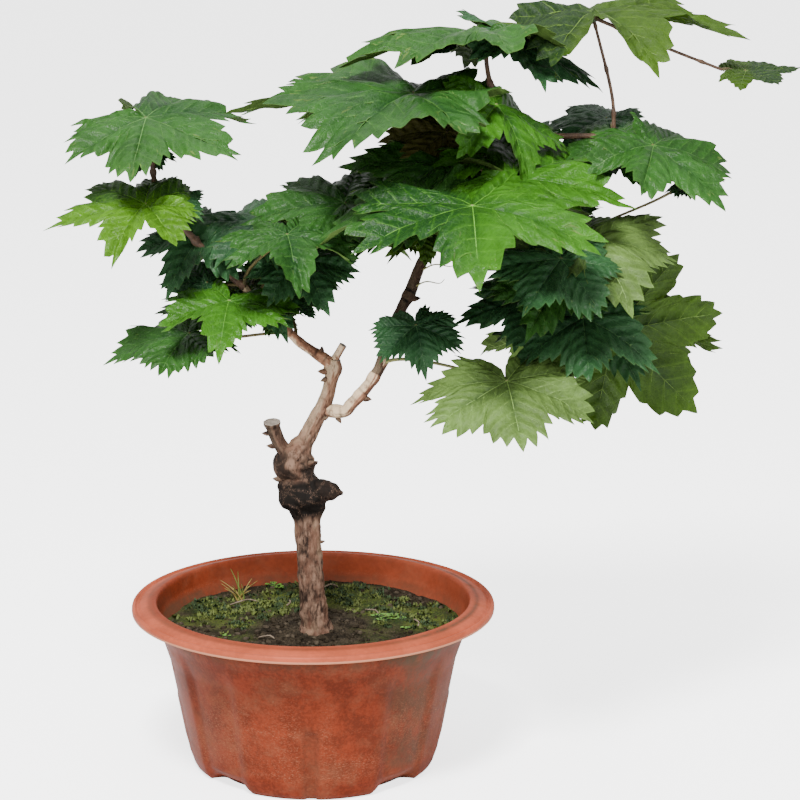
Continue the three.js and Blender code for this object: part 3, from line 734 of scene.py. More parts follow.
def pot_material(settings):
    """Dusty terracotta-coloured plastic: bleached rim, dust in patches, grime in the flutes, painted light and shade
    on the inside wall, painted shadow under the rim, painted shade in the narrow grooves and a painted highlight on
    the lip.
    """
    made, s, shader = material("pot_plastic")
    light, dark = tinted(settings.clay, 1.1), tinted(settings.clay, 0.62)
    clay = s.place(mottled(), Light=light, Dark=dark, Scale=46.0, Flecks=0.40)
    light, dark = tinted(settings.rim, 1.12), tinted(settings.rim, 0.82)
    rim = s.place(mottled(), Light=light, Dark=dark, Scale=30.0, Flecks=0.25)
    # The rim tone is the rim's bleaching, with painted light on the inside wall.
    body = s.mix(s.tone("rim"), clay.outputs["Color"], rim.outputs["Color"])
    dust = s.place(dust_cover(), Scale=38.0, Amount=0.40, Up=0.02).outputs["Mask"]
    off_rim = s.math("SUBTRACT", 1.0, s.math("MULTIPLY", s.tone("rim"), 0.6))
    dusty = s.mix(s.math("MULTIPLY", dust, off_rim), body, settings.dust)
    smear = s.ramp(s.noise(46.0, 6, 0.8, s.coordinates((1, 1, 0.7))), 0.34, 0.60, 0.2, 1.0)
    # Grime in the flutes, with the painted shadow under the rim and the painted shade in the narrow grooves.
    grimed_and_shaded = s.mix(s.math("MULTIPLY", s.tone("grime"), smear, clamp=True), dusty, settings.grime)
    spots = s.ramp(s.noise(150.0, 6, 0.8), 0.49, 0.66, 0.05, 0.95)
    bloom = s.mix(s.math("MULTIPLY", s.tone("bloom"), spots), grimed_and_shaded, tinted(settings.dust, 1.5))
    scuff = s.ramp(s.noise(38.0, 6, 0.75, s.coordinates((1.0, 1.0, 4.0))), 0.60, 0.74, 0.0, 0.35)
    scuffed = s.mix(scuff, bloom, tinted(settings.dust, 1.2))
    # Painted highlight: a pale line along the lip, where the tone passes 0.84.
    edge = s.ramp(s.tone("bloom"), 0.84, 0.9, 0.0, 0.75)
    final = s.mix(edge, scuffed, tinted(settings.dust, 2.4, (0.02, 0.05, 0.04)))
    bump = s.place(fine_relief(), Coarse=85.0, Fine=700.0, Depth=0.0005, Strength=0.3)
    rough = s.ramp(dust, 0.0, 0.6, 0.40, 0.66)
    finish_material(s, shader, final, rough, bump.outputs["Normal"], 0.05)
    return made


def soil_material(settings):
    made, s, shader = material("damp_soil")
    light, dark = tinted(settings.soil, 2.3), tinted(settings.soil, 0.55)
    crumb = s.place(mottled(), Light=light, Dark=dark, Scale=90.0, Flecks=0.6).outputs["Color"]
    green = s.place(mottled(), Light=settings.green, Dark=settings.shade, Scale=70.0, Flecks=0.5).outputs["Color"]
    patchy = s.ramp(s.noise(110.0, 5, 0.7), 0.3, 0.6, 0.2, 1.0)
    mask = s.math("MULTIPLY", s.tone("moss"), patchy, clamp=True)
    bump = s.place(fine_relief(), Coarse=380.0, Fine=1500.0, Depth=0.0016, Strength=1.0)
    finish_material(s, shader, s.mix(mask, crumb, green), 0.85, bump.outputs["Normal"], 0.06)
    return made


def keep(piece, slot_name, *nodes):
    """Rides the piece on the plant's body and hides the solids it stands for. Its slot name is not used."""
    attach(piece, BODY)
    if nodes:
        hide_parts(*nodes)
    return piece


# ---------------------------------------------------------------- pot
# The outline of the wall: shares of the height, with shares of the rim's radius.
WALL_HEIGHTS = (0, 0.03, 0.106, 0.348, 0.66, 0.80, 0.87, 0.90)
WALL_RADII = (0.650, 0.668, 0.693, 0.736, 0.793, 0.836, 0.866, 0.872)
# The rim from under its outer edge to the inside of the wall: (radius, height), as shares.
LIP_ROWS = (
    (0.872, 0.912), (0.880, 0.926), (0.896, 0.934), (0.94, 0.9375), (0.982, 0.938), (0.992, 0.935),
    (0.9985, 0.939), (1.0, 0.950), (0.9995, 0.962), (0.997, 0.971), (0.991, 0.978), (0.984, 0.980),
    (0.978, 0.973), (0.973, 0.965), (0.967, 0.964), (0.960, 0.971), (0.950, 0.979), (0.925, 0.9865),
    (0.905, 0.993), (0.885, 0.998), (0.876, 1.0), (0.869, 0.9985), (0.864, 0.993), (0.860, 0.975),
    (0.857, 0.945), (0.854, 0.91),
)
LIP_ROWS_INSIDE = 7
POT_SIDES = 360
BASE_RADIUS = 0.078
BASE_THICKNESS = 0.003
FOOT_CURVE = 0.0012
FOOT_RISE = 0.0115


def from_quarter(turn):
    """Degrees from the nearest of the four narrow grooves, which stand in front and every quarter turn on."""
    return np.abs((turn + 45) % 90 - 45)


def from_between(turn):
    """Degrees from the nearest of the four notches, half-way between the narrow grooves."""
    return np.abs(turn % 90 - 45)


def pot_radius(settings, high, turn, height, rim):
    """Radius of the pot's outer wall at a height and a turn from the front, in degrees."""
    up = high / height
    r = rim * np.interp(up, WALL_HEIGHTS, WALL_RADII)
    quarter = from_quarter(turn)
    fade = 1 - smooth(0.62, 0.86, up)
    flute = smooth(15.5, 9.5, from_between(turn)) * fade
    low = smooth(0.45, 0.425, up)
    groove = smooth(3.6, 1.6, quarter) * low
    ledge = smooth(17, 13, quarter) * low * smooth(0.12, 0.22, up)
    wave = 0.0004 * np.sin(np.radians(turn * 3 + 40)) * fade
    return r - settings.flute * flute - settings.groove * groove + 0.0007 * ledge + wave


def pot_rings(settings, height, rim, turn):
    """Rings of (radius, height) from the middle of the base, over the rim, to the middle of the inside.

    Gives the count of rings up to the inside wall too.
    """
    sides = len(turn)
    rise = settings.notch * smooth(16, 7, from_between(turn))

    def wall(z):
        return pot_radius(settings, np.full(sides, z), turn, height, rim)

    def level(r, z):
        return np.full(sides, r), np.full(sides, z)

    rings = [level(r, 0.0) for r in (0.002, 0.03, 0.06, BASE_RADIUS)]
    foot = wall(0.0)
    rings += [(foot - 0.0045, rise * 0.85), (foot - 0.0012, rise + 0.0002), (foot - 0.0002, rise + FOOT_CURVE)]
    for k in range(1, 8):
        z = FOOT_CURVE + FOOT_RISE * k / 7
        rings.append((wall(z), z + rise * (1 - k / 7.5)))
    rings += [(wall(z), np.full(sides, z)) for z in np.linspace(0.0145, height * 0.895, 52)]
    rings += [level(rim * a, height * b) for a, b in LIP_ROWS]
    outside = len(rings)
    inside = np.linspace(height * 0.89, 0.012, 28)
    rings += [(wall(z) - settings.wall, np.full(sides, z)) for z in inside]
    rings += [level(BASE_RADIUS, 0.0032), level(0.03, BASE_THICKNESS), level(0.002, BASE_THICKNESS)]
    return rings, outside


def pot_tones(up, out, turn, inside):
    """How bleached, grimy and bloomed the pot is, with its painted light, shadow, shade and highlight, at shares of
    its height and of the rim's radius.
    """
    quarter, between = from_quarter(turn)[None], from_between(turn)[None]
    eastward = np.sin(np.radians(turn))
    east = smooth(0.1, 0.9, eastward)[None]
    streaks = noise(turn / 360, up, (26, 1.3), 5, 26)

    # Painted light and shade on the inside wall: paler near the top and on the right, darker on the left.
    lit = (0.38 + 0.22 * smooth(0.87, 0.93, up)) * (0.3 + 0.7 * smooth(-0.95, 0.0, eastward)[None])
    bleached_and_lit = smooth(0.885, 0.93, out) * smooth(0.90, 0.93, up) + inside * lit

    grime = 0.10 + 0.55 * smooth(22, 6, between) * (0.15 + 0.85 * east) + 0.35 * east * streaks
    # Less grime at the foot, and painted shadow in a band under the rim, heavier on the right.
    grime = grime * (1 - 0.55 * smooth(0.17, 0.12, up)) + (0.5 + 0.5 * east) * smooth(0.80, 0.895, up)
    # Painted shade in the narrow grooves.
    grime = grime + 0.22 * smooth(5.2, 2.4, quarter) * smooth(0.50, 0.40, up)
    grime = np.where(inside, 0.8 * smooth(0.872, 0.862, up), grime) * (1 - bleached_and_lit)

    step = smooth(0.022, 0.0, np.abs(up - 0.438 + 0.01 * streaks)) * smooth(30, 20, quarter)
    tide = smooth(0.02, 0.0, np.abs(up - 0.165 + 0.0006 * quarter)) * smooth(31, 26, quarter)
    blots = smooth(0.42, 0.66, noise(turn / 360, up, (17, 4.6), 8, 17)) * smooth(2.0, 6.0, quarter)
    bloom = 0.55 * step * (0.35 + streaks) + 0.7 * (0.3 + streaks) * tide
    bloom = bloom + (0.08 + 0.50 * blots) * smooth(0.80, 0.42, up) * smooth(0.06, 0.14, up)
    soil_line = 0.6 * smooth(0.018, 0.0, np.abs(up - 0.885 - 0.012 * streaks))
    bloom = np.where(inside, soil_line, bloom) * (1 - bleached_and_lit)
    # Painted highlight along the lower edge of the lip.
    lip_highlight = smooth(0.975, 0.995, out) * smooth(0.962, 0.950, up) * (~inside)
    bloom = np.maximum(np.minimum(bloom, 0.8), 0.9 * lip_highlight)
    return {"rim": bleached_and_lit, "grime": np.clip(grime, 0, 1), "bloom": np.clip(bloom, 0, 1)}


class VINE_OT_pot(bpy.types.Operator):
    """Builds the fluted pot with its rim, foot notches and inside wall"""

    bl_idname = "vine.pot"
    bl_label = "Pot"

    def execute(self, context):
        settings = context.scene.vine_pot
        low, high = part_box("pot")
        rim, height = (high.x - low.x) / 2, high.z - low.z
        turn = np.arange(POT_SIDES) * 360 / POT_SIDES
        rings, outside = pot_rings(settings, height, rim, turn)
        a = np.radians(turn)
        points = np.array([np.stack([r * np.sin(a), -r * np.cos(a), z], 1) for r, z in rings])
        inside = np.arange(len(rings))[:, None] >= outside - LIP_ROWS_INSIDE
        out = np.hypot(points[..., 0], points[..., 1]) / rim
        tones = pot_tones(points[..., 2] / height, out, turn, inside)
        bag = Bag("rim", "grime", "bloom")
        quads = grid_quads(len(rings), POT_SIDES)
        bag.add(points.reshape(-1, 3), quads, **{k: v.ravel() for k, v in tones.items()})
        fan = np.array([[1 + j, 1 + (j + 1) % POT_SIDES, 0] for j in range(POT_SIDES)])
        bag.add(np.vstack([[0, 0, 0.0], points[0]]), tris=fan[:, ::-1], grime=0.5)
        bag.add(np.vstack([[0, 0, BASE_THICKNESS], points[-1]]), tris=fan, grime=0.5)
        keep(bag.object("pot_shell", [pot_material(settings)]), "pot", "pot")
        return {"FINISHED"}


# ---------------------------------------------------------------- soil, moss and seedlings
SOIL_SIDES = 300
SOIL_RINGS = 90
SOIL_BASE = 0.0045
# Patches of moss: (x, y, spread, richness).
MOSS_PATCHES = (
    (-0.078, 0.030, 0.042, 1.0), (0.086, 0.015, 0.042, 1.0), (0.010, 0.082, 0.050, 0.75), (-0.030, 0.055, 0.032, 0.6),
    (0.05, 0.04, 0.03, 0.6), (-0.060, -0.025, 0.030, 0.4), (0.045, -0.045, 0.028, 0.3),
)
# Seedlings: (x, y, leaves, size).
SEEDLINGS = (
    (0.055, 0.015, 7, 0.0048), (0.062, 0.020, 6, 0.0040), (0.048, 0.020, 6, 0.0042), (0.052, 0.006, 5, 0.0036),
    (0.060, 0.009, 5, 0.0034), (0.068, 0.012, 5, 0.0036), (0.071, -0.012, 5, 0.0034), (-0.066, -0.03, 4, 0.0032),
    (-0.035, 0.100, 6, 0.005), (-0.030, 0.095, 5, 0.004),
)
# Half widths of a seedling's leaf along its length, as shares of it.
SEEDLING_WIDTHS = ((0, 0.06), (0.35, 0.1), (0.5, 0.34), (0.72, 0.42), (0.9, 0.28), (1.0, 0.04))
GRASS_TUFT = (-0.060, 0.060)
# Dry twigs: (x, y, turn, length).
DRY_TWIGS = (
    (-0.056, 0.052, 0.3, 0.024), (-0.035, -0.032, 2.6, 0.012), (0.045, 0.03, 2.0, 0.016),
    (-0.02, 0.05, 1.0, 0.014), (0.08, 0.0, 1.4, 0.012), (0.01, 0.09, 0.2, 0.015),
)


def soil_height(x, y):
    """Height of the crumbly soil, with the heap round the trunk."""
    wide = noise(x + 1, y + 1, (28, 28), 3) - 0.5
    fine = noise(x + 1, y + 1, (95, 95), 4) - 0.5
    crumbs = noise(x + 1, y + 1, (330, 330), 6) - 0.5
    heap = 0.0022 * smooth(0.045, 0.012, np.hypot(x - FOOT.x, y - FOOT.y))
    return SOIL_TOP - 0.0018 + (0.0030 * wide + 0.0016 * fine + 0.0009 * crumbs) + heap


def mossy(x, y):
    """How mossy the soil is, from 0 to 1: patches at the left, the right and the back, bare in front."""
    x, y = np.asarray(x), np.asarray(y)
    patch = 0
    for px, py, wide, rich in MOSS_PATCHES:
        patch = patch + rich * np.exp(-((x - px) ** 2 + (y - py) ** 2) / wide**2)
    drift = noise(x + 1, y + 1, (60, 60), 11)
    return smooth(0.35, 0.95, np.clip(patch, 0, 1) * 0.9 + 0.55 * (drift - 0.35))


def lump(rng, size):
    """Points and faces of a small rough lump."""
    bands, sides = 4, 7
    points = [(0, 0, -0.5)]
    for k in range(1, bands):
        a = math.pi * k / bands
        for j in range(sides):
            t = 2 * math.pi * (j + 0.5 * (k % 2)) / sides
            r = 0.5 * (1 + rng.uniform(-0.22, 0.22))
            points.append((r * math.sin(a) * math.cos(t), r * math.sin(a) * math.sin(t), -r * math.cos(a)))
    points.append((0, 0, 0.5))
    faces = [(0, 1 + (j + 1) % sides, 1 + j) for j in range(sides)]
    for k in range(bands - 2):
        for j in range(sides):
            a, b = 1 + k * sides + j, 1 + k * sides + (j + 1) % sides
            faces += [(a, b, b + sides), (a, b + sides, a + sides)]
    top, base = len(points) - 1, 1 + (bands - 2) * sides
    faces += [(top, base + j, base + (j + 1) % sides) for j in range(sides)]
    squash = np.array([rng.uniform(0.8, 1.4), rng.uniform(0.7, 1.1), rng.uniform(0.5, 0.8)])
    spin = rng.uniform(0, math.tau)
    c, s = math.cos(spin), math.sin(spin)
    return (np.array(points) * squash * size) @ np.array([[c, s, 0], [-s, c, 0], [0, 0, 1]]), np.array(faces)


class VINE_OT_soil(bpy.types.Operator):
    """Fills the pot with damp, crumbly, partly mossy soil"""

    bl_idname = "vine.soil"
    bl_label = "Soil"

    def execute(self, context):
        settings = context.scene.vine_soil
        pot = context.scene.vine_pot
        pot_low, pot_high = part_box("pot")
        rim, height = (pot_high.x - pot_low.x) / 2, pot_high.z - pot_low.z
        turn = np.arange(SOIL_SIDES) * 360 / SOIL_SIDES
        a = np.radians(turn)

        def ring(r, z):
            return np.stack([r * np.sin(a), -r * np.cos(a), np.full(SOIL_SIDES, z)], 1)

        def inside_wall(z, gap):
            return pot_radius(pot, np.full(SOIL_SIDES, z), turn, height, rim) - pot.wall - gap

        wall = inside_wall(SOIL_TOP - 0.002, 0.0006)
        grow = np.linspace(1, 0.01, SOIL_RINGS)[:, None]
        x, y = grow * wall * np.sin(a), -grow * wall * np.cos(a)
        moss = mossy(x, y)
        z = soil_height(x, y) - 0.0012 * smooth(0.9, 1.0, grow) + 0.0008 * moss
        top = np.stack([x, y, z], -1).reshape(-1, 3)
        bag = Bag("moss")
        bag.add(top, grid_quads(SOIL_RINGS, SOIL_SIDES), moss=moss.ravel())
        fan = np.array([[j, (j + 1) % SOIL_SIDES, SOIL_SIDES] for j in range(SOIL_SIDES)])
        bag.add(np.vstack([top[-SOIL_SIDES:], top[-SOIL_SIDES:].mean(0)]), tris=fan, moss=0.3)
        under = [ring(inside_wall(level, 0.0009), level) for level in np.linspace(0.012, SOIL_TOP - 0.012, 12)]
        base = ring(0.076, SOIL_BASE)
        bag.add(np.vstack([base, *under, top[:SOIL_SIDES]]), grid_quads(len(under) + 2, SOIL_SIDES))
        bag.add(np.vstack([base, [[0, 0, SOIL_BASE]]]), tris=fan[:, [1, 0, 2]])
        keep(bag.object("soil_bed", [soil_material(settings)]), "soil", "soil")
        return {"FINISHED"}


class VINE_OT_litter(bpy.types.Operator):
    """Scatters clods, grit, moss tufts, seedlings, a grass tuft and dry twigs over the soil"""

    bl_idname = "vine.litter"
    bl_label = "Moss and litter"

    def execute(self, context):
        settings = context.scene.vine_soil
        rng = random.Random(SEED)
        low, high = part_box("soil")
        reach = (high.x - low.x) / 2 - 0.004

        def somewhere(refused):
            """A random spot on the soil, clear of the trunk, that isn't refused for its moss."""
            while True:
                x, y = rng.uniform(-reach, reach), rng.uniform(-reach, reach)
                if math.hypot(x, y) < reach and math.hypot(x - FOOT.x, y - FOOT.y) > 0.013:
                    if not refused(rng.random(), float(mossy(x, y))):
                        return x, y

        self.clods(settings, rng, somewhere)
        self.moss(settings, rng, somewhere, reach)
        self.seedlings(settings, rng)
        self.dry_bits(settings, rng)
        return {"FINISHED"}

    def clods(self, settings, rng, somewhere):
        grit = Bag()
        for _ in range(settings.clods):
            x, y = somewhere(lambda chance, moss: chance < moss * 0.75)
            size = rng.choice([0.0012, 0.0018, 0.0018, 0.0026, 0.0036, 0.005])
            points, faces = lump(rng, size)
            points = points + [x, y, soil_height(x, y) + size * 0.12]
            grit.add(points, tris=faces, slot=0 if rng.random() < 0.6 else 1)
        grain = {"depth": 0.0006, "coarse": 600.0, "specular": 0.06}
        light, dark = tinted(settings.soil, 1.8), tinted(settings.soil, 0.7)
        wet = plain_material("clod_wet", light, dark, rough=0.8, scale=120.0, flecks=0.5, **grain)
        dark = tinted(settings.dry, 0.45)
        dry = plain_material("clod_dry", settings.dry, dark, rough=0.9, scale=150.0, flecks=0.6, **grain)
        keep(grit.object("soil_clods", [wet, dry]), "soil")

    def moss(self, settings, rng, somewhere, reach):
        moss = Bag()
        for _ in range(settings.moss):
            x, y = somewhere(lambda chance, moss: chance > moss**1.5)
            spread = rng.uniform(0.0022, 0.0058)
            shade = rng.random() < 0.55
            for _ in range(int(26 * spread / 0.004)):
                px, py = x + rng.gauss(0, spread * 0.55), y + rng.gauss(0, spread * 0.55)
                if math.hypot(px, py) > reach + 0.002:
                    continue
                turn, tall = rng.uniform(0, math.tau), rng.uniform(0.0016, 0.0036)
                lean = rng.uniform(0.2, 0.9) * tall
                c, s = math.cos(turn), math.sin(turn)
                w = rng.uniform(0.0004, 0.0008)
                root = np.array([px, py, soil_height(px, py) - 0.0002])
                tip = root + [c * lean, s * lean, tall]
                mid = root + [c * lean * 0.35, s * lean * 0.35, tall * 0.6]
                side = np.array([-s * w, c * w, 0])
                blade = [root - side, root + side, mid + side * 1.3, mid - side * 1.3, tip]
                moss.add(blade, quads=[[0, 1, 2, 3]], tris=[[3, 2, 4]], slot=int(shade))
        light, dark = tinted(settings.green, 1.25), tinted(settings.green, 0.7)
        light = plain_material("moss_light", light, dark, rough=0.75, scale=200.0)
        shade = plain_material("moss_shade", tinted(settings.shade, 1.5), settings.shade, rough=0.8, scale=200.0)
        keep(moss.object("moss_tufts", [light, shade]), "soil")

    def seedlings(self, settings, rng):
        weeds = Bag()
        for x, y, leaves, size in SEEDLINGS:
            for k in range(leaves):
                turn = math.tau * k / leaves + rng.uniform(-0.4, 0.4)
                long = size * rng.uniform(0.7, 1.15)
                out = np.array([math.cos(turn), math.sin(turn), 0])
                side = np.array([-out[1], out[0], 0])
                root = np.array([x, y, soil_height(x, y)]) + [0, 0, 0.001 * k / leaves]
                rows = []
                for t, w in SEEDLING_WIDTHS:
                    spine = root + out * t * long * 1.2 + np.array([0, 0, long * (0.9 * t - 0.55 * t * t)])
                    dip = np.array([0, 0, long * 0.1 * w])
                    rows += [spine - side * w * long + dip, spine, spine + side * w * long + dip]
                weeds.add(rows, grid_quads(len(SEEDLING_WIDTHS), 3, wrap=False))
        green = plain_material("seedling_green", settings.weed, tinted(settings.weed, 0.55), rough=0.5, scale=300.0)
        keep(weeds.object("seedlings", [green]), "soil")

    def dry_bits(self, settings, rng):
        """A tuft of grass and dry twigs."""
        bag = Bag()
        x, y = GRASS_TUFT
        for _ in range(15):
            lean = rng.uniform(-0.9, 0.9)
            tall = rng.uniform(0.016, 0.036) * (1 - 0.3 * abs(lean))
            aim = np.array([lean * 0.55, rng.uniform(-0.4, 0.4), 1.0])
            spread = [rng.uniform(-0.004, 0.004), rng.uniform(-0.003, 0.003), soil_height(x, y) - 0.001]
            root = np.array([x, y, 0]) + spread
            rows = []
            for t in (0, 0.35, 0.7, 1):
                bow = np.array([lean * 0.011 * t * t, 0, -0.003 * t * t])
                rows.append((root + aim * tall * t + bow, 0.0009 * (1 - 0.75 * t)))
            tube(bag, *through(rows, 0.003), 5, slot=0 if rng.random() < 0.6 else 1)
        for x, y, turn, long in DRY_TWIGS:
            c, s = math.cos(turn), math.sin(turn)
            rows = []
            for t in (-0.5, -0.15, 0.2, 0.5):
                sway = 0.003 * math.sin(5 * t)
                px, py = x + c * long * t - s * sway, y + s * long * t + c * sway
                pz = soil_height(px, py) + 0.0012 + 0.0022 * math.cos(3 * t)
                rows.append((Vector((px, py, pz)), 0.00065 + 0.0002 * math.cos(9 * t)))
            tube(bag, *through(rows, 0.002), 6, slot=2, start=True)
        finishes = [
            plain_material(name, light, dark, rough=rough, scale=300.0)
            for name, light, dark, rough in (
                ("grass_straw", settings.straw, tinted(settings.straw, 0.5), 0.6),
                ("grass_green", (0.16, 0.22, 0.04, 1), (0.09, 0.11, 0.02, 1), 0.6),
                ("dry_twig", (0.20, 0.15, 0.105, 1), (0.09, 0.065, 0.045, 1), 0.8),
            )
        ]
        keep(bag.object("grass_and_twigs", finishes), "soil")


# ---------------------------------------------------------------- trunk, boughs and canes
def bark_relief(seed, depth, around=(8, 20, 47), stretch=1.0):
    """Relief of stringy bark: long ridges, finer fibres, and scaly flakes."""

    def bulge(u, v):
        broad = noise(u, v, (around[0], 22 * stretch), seed, around[0])
        sway = 0.10 * (noise(u, v, (3, 30), seed + 5, 3) - 0.5)
        fibre = noise(u + sway, v, (around[1], 42 * stretch), seed + 1, around[1])
        hair = noise(u + sway, v, (around[2], 110 * stretch), seed + 2, around[2])
        flake = smooth(0.60, 0.66, noise(u, v, (around[0] + 5, 95), seed + 3, around[0] + 5))
        coarse = 0.55 * (broad - 0.5) + 0.9 * (np.abs(fibre - 0.5) * 2 - 0.4)
        return depth * (coarse + 0.55 * (hair - 0.5) + 0.22 * flake)

    return bulge


# The relief's height as a tone, from which the bark paints its hollows dark as painted shade.
def ridge_value(depth):
    return lambda u, v, lift: np.clip(0.45 + lift / (1.5 * depth), 0, 1)


def bud(bag, where, aim, size, rng, **tones):
    """A pointed winter bud."""
    aim, where = Vector(aim).normalized(), Vector(where)
    rows = [(where + aim * size * a, size * r) for a, r in ((-0.3, 0.45), (0.25, 0.52), (0.8, 0.34), (1.3, 0.05))]
    bulge = bark_relief(rng.randint(1, 99), 0.12, (5, 9, 15))
    tube(bag, *through(rows, size * 0.22), 14, bulge, ridge=ridge_value(0.12), **tones)


# Buds of the trunk and its cut stub: (stem, share of its length, aim, size, how young).
TRUNK_BUDS = (
    ("stub", 0.55, (-1, -0.25, 0.12), 0.0042, 0.2), ("stub", 0.80, (-1, -0.2, 0.1), 0.0036, 0.0),
    ("stub", 0.42, (0.8, -0.6, 0.5), 0.0036, 0.1), ("trunk", 0.635, (1, -0.4, 0.5), 0.0044, 0.1),
    ("trunk", 0.955, (-1, -0.4, 0.15), 0.0046, 0.5), ("trunk", 0.93, (-1, -0.7, -0.3), 0.0038, 0.1),
    ("trunk", 0.575, (-1, -0.3, 0.2), 0.0048, 0.1), ("trunk", 0.33, (1, -0.2, 0.3), 0.0026, 0.0),
    ("trunk", 0.80, (1, -0.5, 0.4), 0.0030, 0.2),
)


class VINE_OT_trunk(bpy.types.Operator):
    """Builds the trunk with its root flare, black graft, cut stub and bark relief"""

    bl_idname = "vine.trunk"
    bl_label = "Trunk"

    def execute(self, context):
        settings = context.scene.vine_wood
        bark = bark_material(settings)
        finish = {"rough": 0.9, "scale": 400.0, "flecks": 0.6, "depth": 0.0005, "coarse": 900.0, "specular": 0.2}
        cut = plain_material("cut_wood", settings.cut, tinted(settings.cut, 0.5), **finish)
        rng = random.Random(SEED + 1)
        bag = Bag("ridge", "char", "young")
        depth = settings.relief
        skins = {"trunk": self.trunk(bag, depth)}

        nose = through(stem_rows("graft_nose", NOSE_ROWS), 0.0007)
        relief = bark_relief(61, depth * 1.3, (6, 13, 27), 2.4)
        tube(bag, *nose, 72, relief, ridge=ridge_value(depth), char=0.95)
        for node, path, seed, young, char in (
            ("cut_stub", STUB_ROWS, 31, 0.1, 0.45), ("fork_stub", FORK_STUB_ROWS, 33, 0.8, 0.0),
        ):
            stem, relief = through(stem_rows(node, path), 0.0006), bark_relief(seed, depth * 0.8, (7, 15, 31))
            tube(bag, *stem, 56, relief, ridge=ridge_value(depth), young=young, char=char, end_slot=1)

        # The stub's buds stand on its smooth line, and not on its relief.
        skins["stub"] = tube(Bag(), *through(stem_rows("cut_stub", STUB_ROWS), 0.0006), 56)
        for stem, up, aim, size, young in TRUNK_BUDS:
            ring = skins[stem][int(up * (len(skins[stem]) - 1))]
            bud(bag, ring[int((ring @ np.array(aim)).argmax())], aim, size, rng, young=young, char=0.4)
        keep(bag.object("trunk_bark", [bark, cut]), "trunk_bark", "trunk", "graft_nose", "cut_stub", "fork_stub")
        return {"FINISHED"}

    def trunk(self, bag, depth):
        """Adds the trunk from the root flare, over the graft, to the fork. Gives its skin."""
        low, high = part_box("trunk")
        line, radii, ways = through(stem_rows("trunk", TRUNK_ROWS), 0.0009)
        up = (line[:, 2] - low.z) / (high.z - low.z)
        along = np.concatenate([[0], np.cumsum(np.linalg.norm(np.diff(line, axis=0), axis=1))])
        stringy = bark_relief(21, depth, (8, 19, 41), 3.2)
        blocky = bark_relief(51, depth * 1.25, (7, 15, 33), 2.6)
        ridge = ridge_value(depth)

        def height(v):
            return np.interp(v, along, up)

        def graft(v):
            return smooth(0.405, 0.44, height(v)) * smooth(0.59, 0.555, height(v))

        def knobs(u, v):
            """Round swellings about the graft and the spread of the roots."""
            at = height(v)
            near_graft = smooth(0.36, 0.46, at) * smooth(0.74, 0.64, at)
            swellings = 0.24 * smooth(0.30, 0.75, noise(u, v, (5, 75), 71, 5)) + 0.11 * noise(u, v, (11, 170), 73, 11)
            flare = 0.22 * smooth(0.05, -0.01, at) * (noise(u, v, (5, 1), 81, 5) - 0.35)
            return near_graft * (swellings - 0.10) + flare

        def bulge(u, v):
            g = graft(v)
            calm = 1 - 0.35 * smooth(0.70, 0.85, height(v))
            return stringy(u, v) * (1 - g) * calm + blocky(u, v) * g + knobs(u, v)

        def scorched(u, v):
            """Dark stains that creep up from the graft over the swelling above it."""
            stains = 0.6 * noise(u, v, (9, 110), 95, 9) + 0.4 * noise(u, v, (21, 260), 97, 21)
            above = smooth(0.54, 0.56, height(v)) * smooth(0.74, 0.62, height(v))
            return 0.85 * above * smooth(0.42, 0.66, stains)

        def char(u, v, lift):
            ragged = 0.005 * (noise(u, v, (7, 90), 91, 7) - 0.5)
            return np.maximum(graft(v + ragged), scorched(u, v))

        tones = {
            "ridge": lambda u, v, lift: ridge(u, v, lift - knobs(u, v)),
            "char": char,
            "young": lambda u, v, lift: 0.45 * smooth(0.66, 0.90, height(v)),
        }
        return tube(bag, line, radii, ways, 128, bulge, start=True, end_slot=1, **tones)


def cane_lines():
    """Every bough and cane as its smooth line."""
    return {n: through(stem_rows(n, rows), 0.0011) for n, rows in {**BOUGHS, **CANES}.items()}


# How young the bark of each bough is, at its start and its end, and how dark all along; the
# upper bough's darkness is painted shade under the crown.
BOUGH_TONES = {"bough_left": (0.9, 1.0, 0.0), "bough_right": (0.9, 0.8, 0.0), "bough_upper": (0.55, 0.0, 0.72)}
CANE_JOINTS = 0.034


